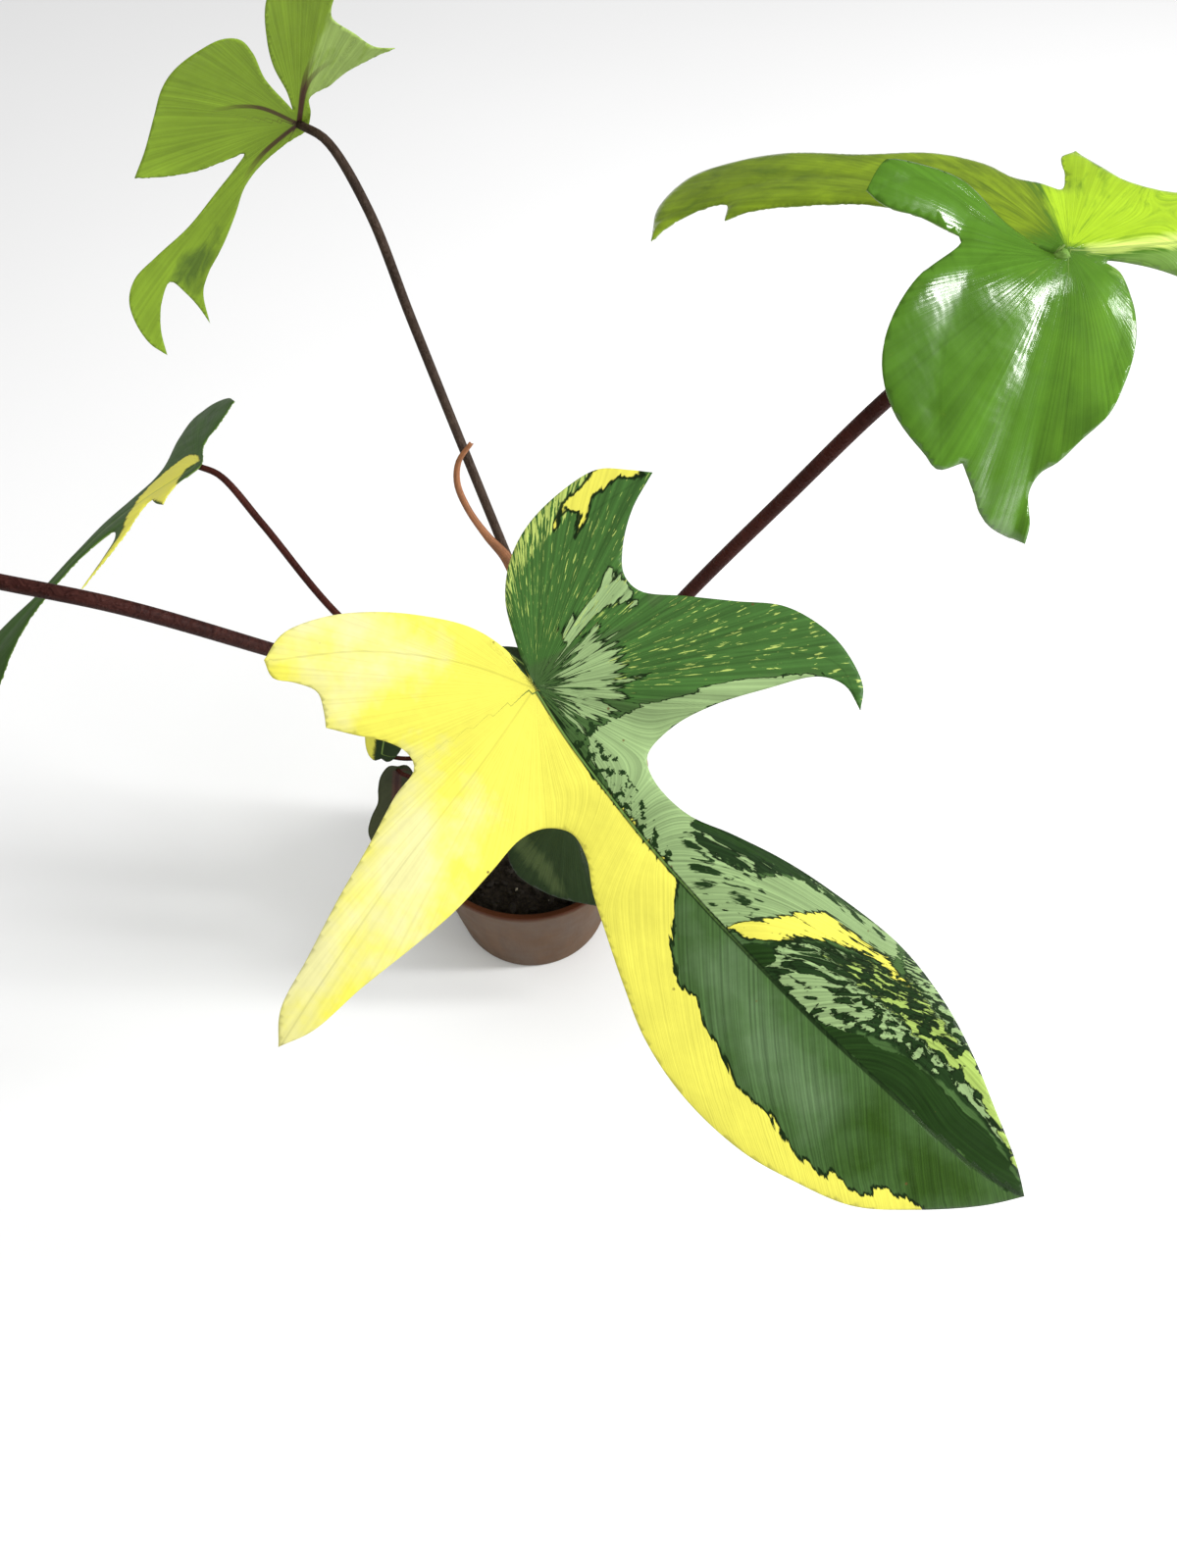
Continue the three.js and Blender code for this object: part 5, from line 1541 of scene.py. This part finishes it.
def with_veins(finish, colour, count, look):
    """The colour with the blade's main veins drawn over it."""
    reach, strength = look["reach"], look["strength"]
    root = finish.length(finish.place("plan"))
    fade = finish.ramp(root, VEIN_FADE_START * reach, reach, strength, 0)
    core_fade = finish.ramp(root, CORE_FADE[0] * reach, CORE_FADE[1] * reach, strength, 0)
    for index in range(count):
        half_width = look["half_width"] if index == 0 else look["side_half_width"]
        gap = finish.sums("ABSOLUTE", finish.number(f"vein_{index}"))
        line = finish.ramp(gap, VEIN_EDGE_START * half_width, half_width, 1, 0)
        drawn = finish.sums("MULTIPLY", line, fade)
        if index == 0:
            colour = finish.mix(drawn, colour, look["edge"])
            inner = finish.ramp(gap, CORE_EDGE[0] * half_width, CORE_EDGE[1] * half_width, 1, 0)
            colour = finish.mix(finish.sums("MULTIPLY", inner, core_fade), colour, look["core"])
        elif look["side"]:
            colour = finish.mix(drawn, colour, look["side"])
        else:
            colour = finish.shaded(colour, finish.ramp(drawn, 0, 1, 1, SIDE_VEIN_SHADE))
    return colour


def streak_noises(finish, plan, flow):
    """The noises that break up the paints' edges, by kind."""
    streaks = {"cloud": finish.ramp(finish.noise(plan, CLOUD_SCALE, 4, 0.6), *NOISE_SPREAD),
               "specks": finish.ramp(finish.noise(plan, SPECK_SCALE, 4, 0.6), *NOISE_SPREAD)}
    for kind, stretch in STREAK_STRETCHES.items():
        streak = finish.noise(finish.stretched(flow, stretch), 1, 4, 0.55, STREAK_DISTORTION)
        streaks[kind] = finish.ramp(streak, *NOISE_SPREAD)
    return streaks


def painted(finish, colour, paints, streaks):
    """The colour with the blade's paints over it, and how far yellow covers each point."""
    yellow = 0.0
    for paint, ragged, _ in paints:
        spread = finish.sums("SUBTRACT", finish.number(paint), streaks[PAINT_KINDS.get(paint, "broad")])
        if paint in OUTLINED_PAINTS:
            width = OUTLINED_PAINTS[paint]
            outline = finish.ramp(spread, -width, -OUTLINE_SOFTNESS * width, 0, OUTLINE_STRENGTH)
            colour = finish.mix(outline, colour, DEEP_GREEN)
        cover = finish.ramp(spread, -ragged, ragged)
        colour = finish.mix(cover, colour, PAINT_COLOURS[paint])
        if paint == "yellow":
            yellow = cover
    return colour, yellow


def with_dots(finish, colour, plan):
    """The colour with small brown dots in some places."""
    dots = finish.ramp(finish.cells(plan, DOT_SCALE), *DOT_EDGE, DOT_STRENGTH, 0)
    some = finish.ramp(finish.noise(plan, CLOUD_SCALE, 1), *DOT_PATCH_EDGE)
    return finish.mix(finish.sums("MULTIPLY", dots, some), colour, DOT_BROWN)


def blade_finish(name, leaf, base, roughness, veins, shine=0.5, pale=0.0, contrast=0.16):
    """A blade's surface: ground colour, paints, main veins, and fine lines that are calmer on yellow."""
    finish = Finish(name, roughness, shine)
    plan = finish.place("plan")
    flow = finish.place("flow")
    lines = finish.noise(finish.stretched(flow, LINE_STRETCH), 1, 2)
    broad = finish.noise(finish.stretched(flow, BROAD_STRETCH), 1, 2)
    streaks = streak_noises(finish, plan, flow)
    colour = finish.mix(finish.ramp(broad, 0.35, 0.65), base, toned(base, BROAD_SHADE))
    colour, calm = painted(finish, colour, leaf["paints"], streaks)
    if leaf.get("dotted"):
        colour = with_dots(finish, colour, plan)
    colour = with_veins(finish, colour, len(leaf["veins"]), veins)
    if pale:
        colour = finish.mix(pale, colour, PALE_UNDERSIDE)
    darkest = finish.ramp(calm, 0, 1, 1 - contrast, CALM_LINES[0])
    lightest = finish.ramp(calm, 0, 1, 1 + LIGHT_LINE_SHARE * contrast, CALM_LINES[1])
    clouds = finish.ramp(streaks["cloud"], 0, 1, *CLOUD_BRIGHTNESS)
    brightness = finish.sums("MULTIPLY", clouds, finish.ramp(lines, *NOISE_MIDDLE, darkest, lightest))
    colour = finish.shaded(colour, brightness)
    normal = finish.bump(lines, LINE_DEPTH)
    normal = finish.bump(finish.noise(plan, DIMPLE_SCALE, 2), DIMPLE_DEPTH, normal)
    uneven = finish.noise(plan, ROUGH_SCALE, 3)
    rough = finish.ramp(uneven, *NOISE_MIDDLE, roughness - SMOOTHER, roughness + ROUGHER)
    return finish.done(colour, normal, rough)


def petiole_finish(name, colour, flecks_colour, end_colour=None):
    """Dark skin with pale lengthwise flecks and small warts, and another colour at its upper end."""
    finish = Finish(name, 0.5, 0.1)
    along = finish.place("along")
    place = finish.place()
    flecks = finish.noise(finish.stretched(along, FLECK_STRETCH), 1, 4, 0.7)
    tint = finish.mix(finish.ramp(flecks, 0.4, 0.72), colour, flecks_colour)
    patches = finish.noise(place, 60, 3)
    tint = finish.shaded(tint, finish.ramp(patches, *NOISE_MIDDLE, 0.75, 1.3))
    if end_colour:
        tint = finish.mix(finish.ramp(finish.number("reach"), 0.965, 0.985), tint, end_colour)
    warts = finish.ramp(finish.cells(place, WART_SCALE), 0.1, 0.45, 1, 0)
    normal = finish.bump(flecks, FLECK_DEPTH, finish.bump(warts, WART_DEPTH))
    return finish.done(tint, normal)


def stem_finish():
    """Brown stem skin with lengthwise cracks."""
    finish = Finish("stem_skin", 0.7)
    cracks = finish.noise(finish.stretched(finish.place("along"), CRACK_STRETCH), 1, 5, 0.7)
    colour = finish.mix(finish.ramp(cracks, 0.35, 0.65), STEM_BROWN, toned(STEM_BROWN, 2.4))
    return finish.done(colour, finish.bump(cracks, CRACK_DEPTH))


def sheath_finish():
    """Papery, orange-brown sheath with darker lengthwise fibres."""
    finish = Finish("dry_sheath_paper", 0.6)
    fibres = finish.noise(finish.stretched(finish.place("along"), FIBRE_STRETCH), 1, 4, 0.7)
    colour = finish.mix(finish.ramp(fibres, 0.35, 0.7), SHEATH_BROWN, toned(SHEATH_BROWN, 0.4))
    patches = finish.noise(finish.place(), 90, 3)
    colour = finish.shaded(colour, finish.ramp(patches, *NOISE_MIDDLE, 0.7, 1.35))
    return finish.done(colour, finish.bump(fibres, FIBRE_DEPTH))


def pot_finish():
    """Brown plastic with faint streaks down the wall, uneven dust and a redder rim."""
    finish = Finish("pot_plastic", 0.5, 0.08)
    place = finish.place()
    height = finish.node("ShaderNodeSeparateXYZ", place).outputs[2]
    streaks = finish.noise(finish.stretched(place, POT_STREAK_STRETCH), 1, 4, 0.6)
    dust = finish.noise(place, 30, 5, 0.6)
    colour = finish.mix(finish.ramp(streaks, 0.35, 0.7, 0, 0.5), POT_BROWN, toned(POT_BROWN, 1.5))
    worn = finish.sums("ADD", height, finish.ramp(dust, *NOISE_MIDDLE, -0.0012, 0.0012))
    colour = finish.mix(finish.ramp(worn, POT_HEIGHT - LIP_HEIGHT, POT_HEIGHT - 0.0015), colour, POT_RIM)
    colour = finish.shaded(colour, finish.ramp(dust, *NOISE_MIDDLE, 0.85, 1.18))
    normal = finish.bump(finish.noise(finish.stretched(place, SCUFF_STRETCH), 1, 3), SCUFF_DEPTH)
    return finish.done(colour, normal, finish.ramp(dust, *NOISE_MIDDLE, 0.42, 0.62))


def soil_finish():
    """Dark, moist mix with browner crumbs."""
    finish = Finish("potting_mix_crumbs", 0.9, 0.2)
    crumbs = finish.noise(finish.place(), CRUMB_SCALE, 5, 0.7)
    colour = finish.mix(finish.ramp(crumbs, 0.42, 0.7), SOIL_DARK, toned(SOIL_DARK, 3.2))
    return finish.done(colour, finish.bump(crumbs, CRUMB_DEPTH))


def chip_finish(name, colour, dark_share):
    finish = Finish(name, 0.85)
    grain = finish.noise(finish.place(), GRAIN_SCALE, 4, 0.65)
    tint = finish.mix(finish.ramp(grain, 0.35, 0.7), colour, toned(colour, dark_share))
    return finish.done(tint, finish.bump(grain, GRAIN_DEPTH))


# Camera, floor and light

def add_camera():
    bpy.ops.object.camera_add(location=CAMERA_PLACE, rotation=(math.radians(90 - CAMERA_PITCH), 0, 0))
    camera = bpy.context.object
    camera.data.sensor_width = SENSOR
    camera.data.lens = FOCAL_PIXELS * SENSOR / PHOTO_LONG_SIDE
    camera.data.clip_start = CAMERA_NEAREST
    bpy.context.scene.camera = camera


def add_floor():
    bpy.ops.mesh.primitive_plane_add(size=FLOOR_SIZE, location=(0, 0, FLOOR_HEIGHT))
    floor = named("studio_floor")
    apply_place(floor)
    finish = Finish("studio_floor_white", 0.9)
    mottle = finish.noise(finish.place(), 2, 2)
    shade = finish.shaded(FLOOR_WHITE, finish.ramp(mottle, *NOISE_MIDDLE, 0.99, 1.01))
    floor.data.materials.append(finish.done(shade))


def add_area_light(name, place, target, width, height, watts, mirrored):
    turn = (Vector(target) - Vector(place)).to_track_quat("-Z", "Y").to_euler()
    bpy.ops.object.light_add(type="AREA", location=place, rotation=turn)
    light = bpy.context.object
    light.name = name
    light.data.shape = "RECTANGLE"
    light.data.size = width
    light.data.size_y = height
    light.data.energy = watts
    light.visible_glossy = mirrored


def add_world():
    world = bpy.data.worlds.new("studio_air")
    world.use_nodes = True
    sky = world.node_tree.nodes["Background"]
    sky.inputs["Color"].default_value = (1, 1, 1, 1)
    rays = world.node_tree.nodes.new("ShaderNodeLightPath")
    strength = world.node_tree.nodes.new("ShaderNodeMapRange")
    world.node_tree.links.new(rays.outputs["Is Glossy Ray"], strength.inputs["Value"])
    strength.inputs["To Min"].default_value = WORLD_STRENGTH
    strength.inputs["To Max"].default_value = MIRRORED_STRENGTH
    world.node_tree.links.new(strength.outputs[0], sky.inputs["Strength"])
    bpy.context.scene.world = world
    bpy.context.scene.view_settings.view_transform = "Standard"


def make_leaf(leaf, petiole, upper, under):
    """A leaf, from its petiole's finish and the values of its blade's upper and lower finish."""
    make_petiole(leaf, petiole)
    upper_finish = blade_finish(leaf["name"] + "_upper", leaf, **upper)
    under_finish = blade_finish(leaf["name"] + "_under", leaf, **under)
    make_blade(leaf, upper_finish, under_finish)


def make_leaves():
    red = petiole_finish("petiole_red", PETIOLE_RED, PETIOLE_RED_FLECKS)
    green_ended = petiole_finish("petiole_red_green_end", PETIOLE_RED, PETIOLE_RED_FLECKS, TIP_GREEN)
    rose = petiole_finish("petiole_rose", PETIOLE_ROSE, PETIOLE_ROSE_FLECKS)
    olive = petiole_finish("petiole_olive", PETIOLE_OLIVE, PETIOLE_OLIVE_FLECKS)
    make_leaf(LEAF_1, rose,
              dict(base=STREAK_GREEN, roughness=0.42, veins=DARK_VEINS, shine=0.18, contrast=0.4),
              dict(base=STREAK_GREEN, roughness=0.55, veins=GREEN_VEINS, shine=0.3, pale=0.35))
    make_leaf(LEAF_2, green_ended,
              dict(base=LEAF_2_GREEN, roughness=0.17, veins=GREEN_VEINS),
              dict(base=LEAF_2_GREEN, roughness=0.5, veins=GREEN_VEINS, pale=0.45))
    make_leaf(LEAF_3, olive,
              dict(base=LEAF_2_GREEN, roughness=0.3, veins=GREEN_VEINS),
              dict(base=LEAF_3_GREEN, roughness=0.5, veins=PURPLE_VEINS, shine=0.2, contrast=0.2))
    make_leaf(LEAF_4, red,
              dict(base=LEAF_4_GREEN, roughness=0.5, veins=GREEN_VEINS, shine=0.1),
              dict(base=LEAF_4_GREEN, roughness=0.5, veins=GREEN_VEINS, shine=0.1, pale=0.3))
    make_leaf(LEAF_5, rose,
              dict(base=LEAF_4_GREEN, roughness=0.33, veins=GREEN_VEINS),
              dict(base=LEAF_4_GREEN, roughness=0.5, veins=GREEN_VEINS, pale=0.35))
    for leaf, under_veins in ((LEAF_6, RED_VEINS), (LEAF_7, PURPLE_VEINS), (LEAF_8, PURPLE_VEINS),
                              (LEAF_9, PURPLE_VEINS)):
        make_leaf(leaf, red,
                  dict(base=YOUNG_GREEN, roughness=0.3, veins=GREEN_VEINS, shine=0.3),
                  dict(base=YOUNG_UNDERSIDE, roughness=0.5, veins=under_veins, shine=0.3))


def make_plant():
    make_leaves()
    make_stem(stem_finish())
    paper = sheath_finish()
    for name, (line, half_width) in SHEATHS.items():
        make_sheath(name, line, half_width, paper)
    make_pot(pot_finish())
    make_soil(soil_finish())
    make_chips("bark_crumbs", count=260, size=0.0028, thickness=0.5,
               finish=chip_finish("bark_crumb", BARK, dark_share=0.4), seed=3)
    make_chips("perlite_grains", count=10, size=0.0016, thickness=0.8,
               finish=chip_finish("perlite_grain", PERLITE, dark_share=0.7), seed=5)


deselect_all()
add_camera()
make_plant()
add_floor()
for light_name, light_values in LIGHTS.items():
    add_area_light(light_name, *light_values)
add_world()
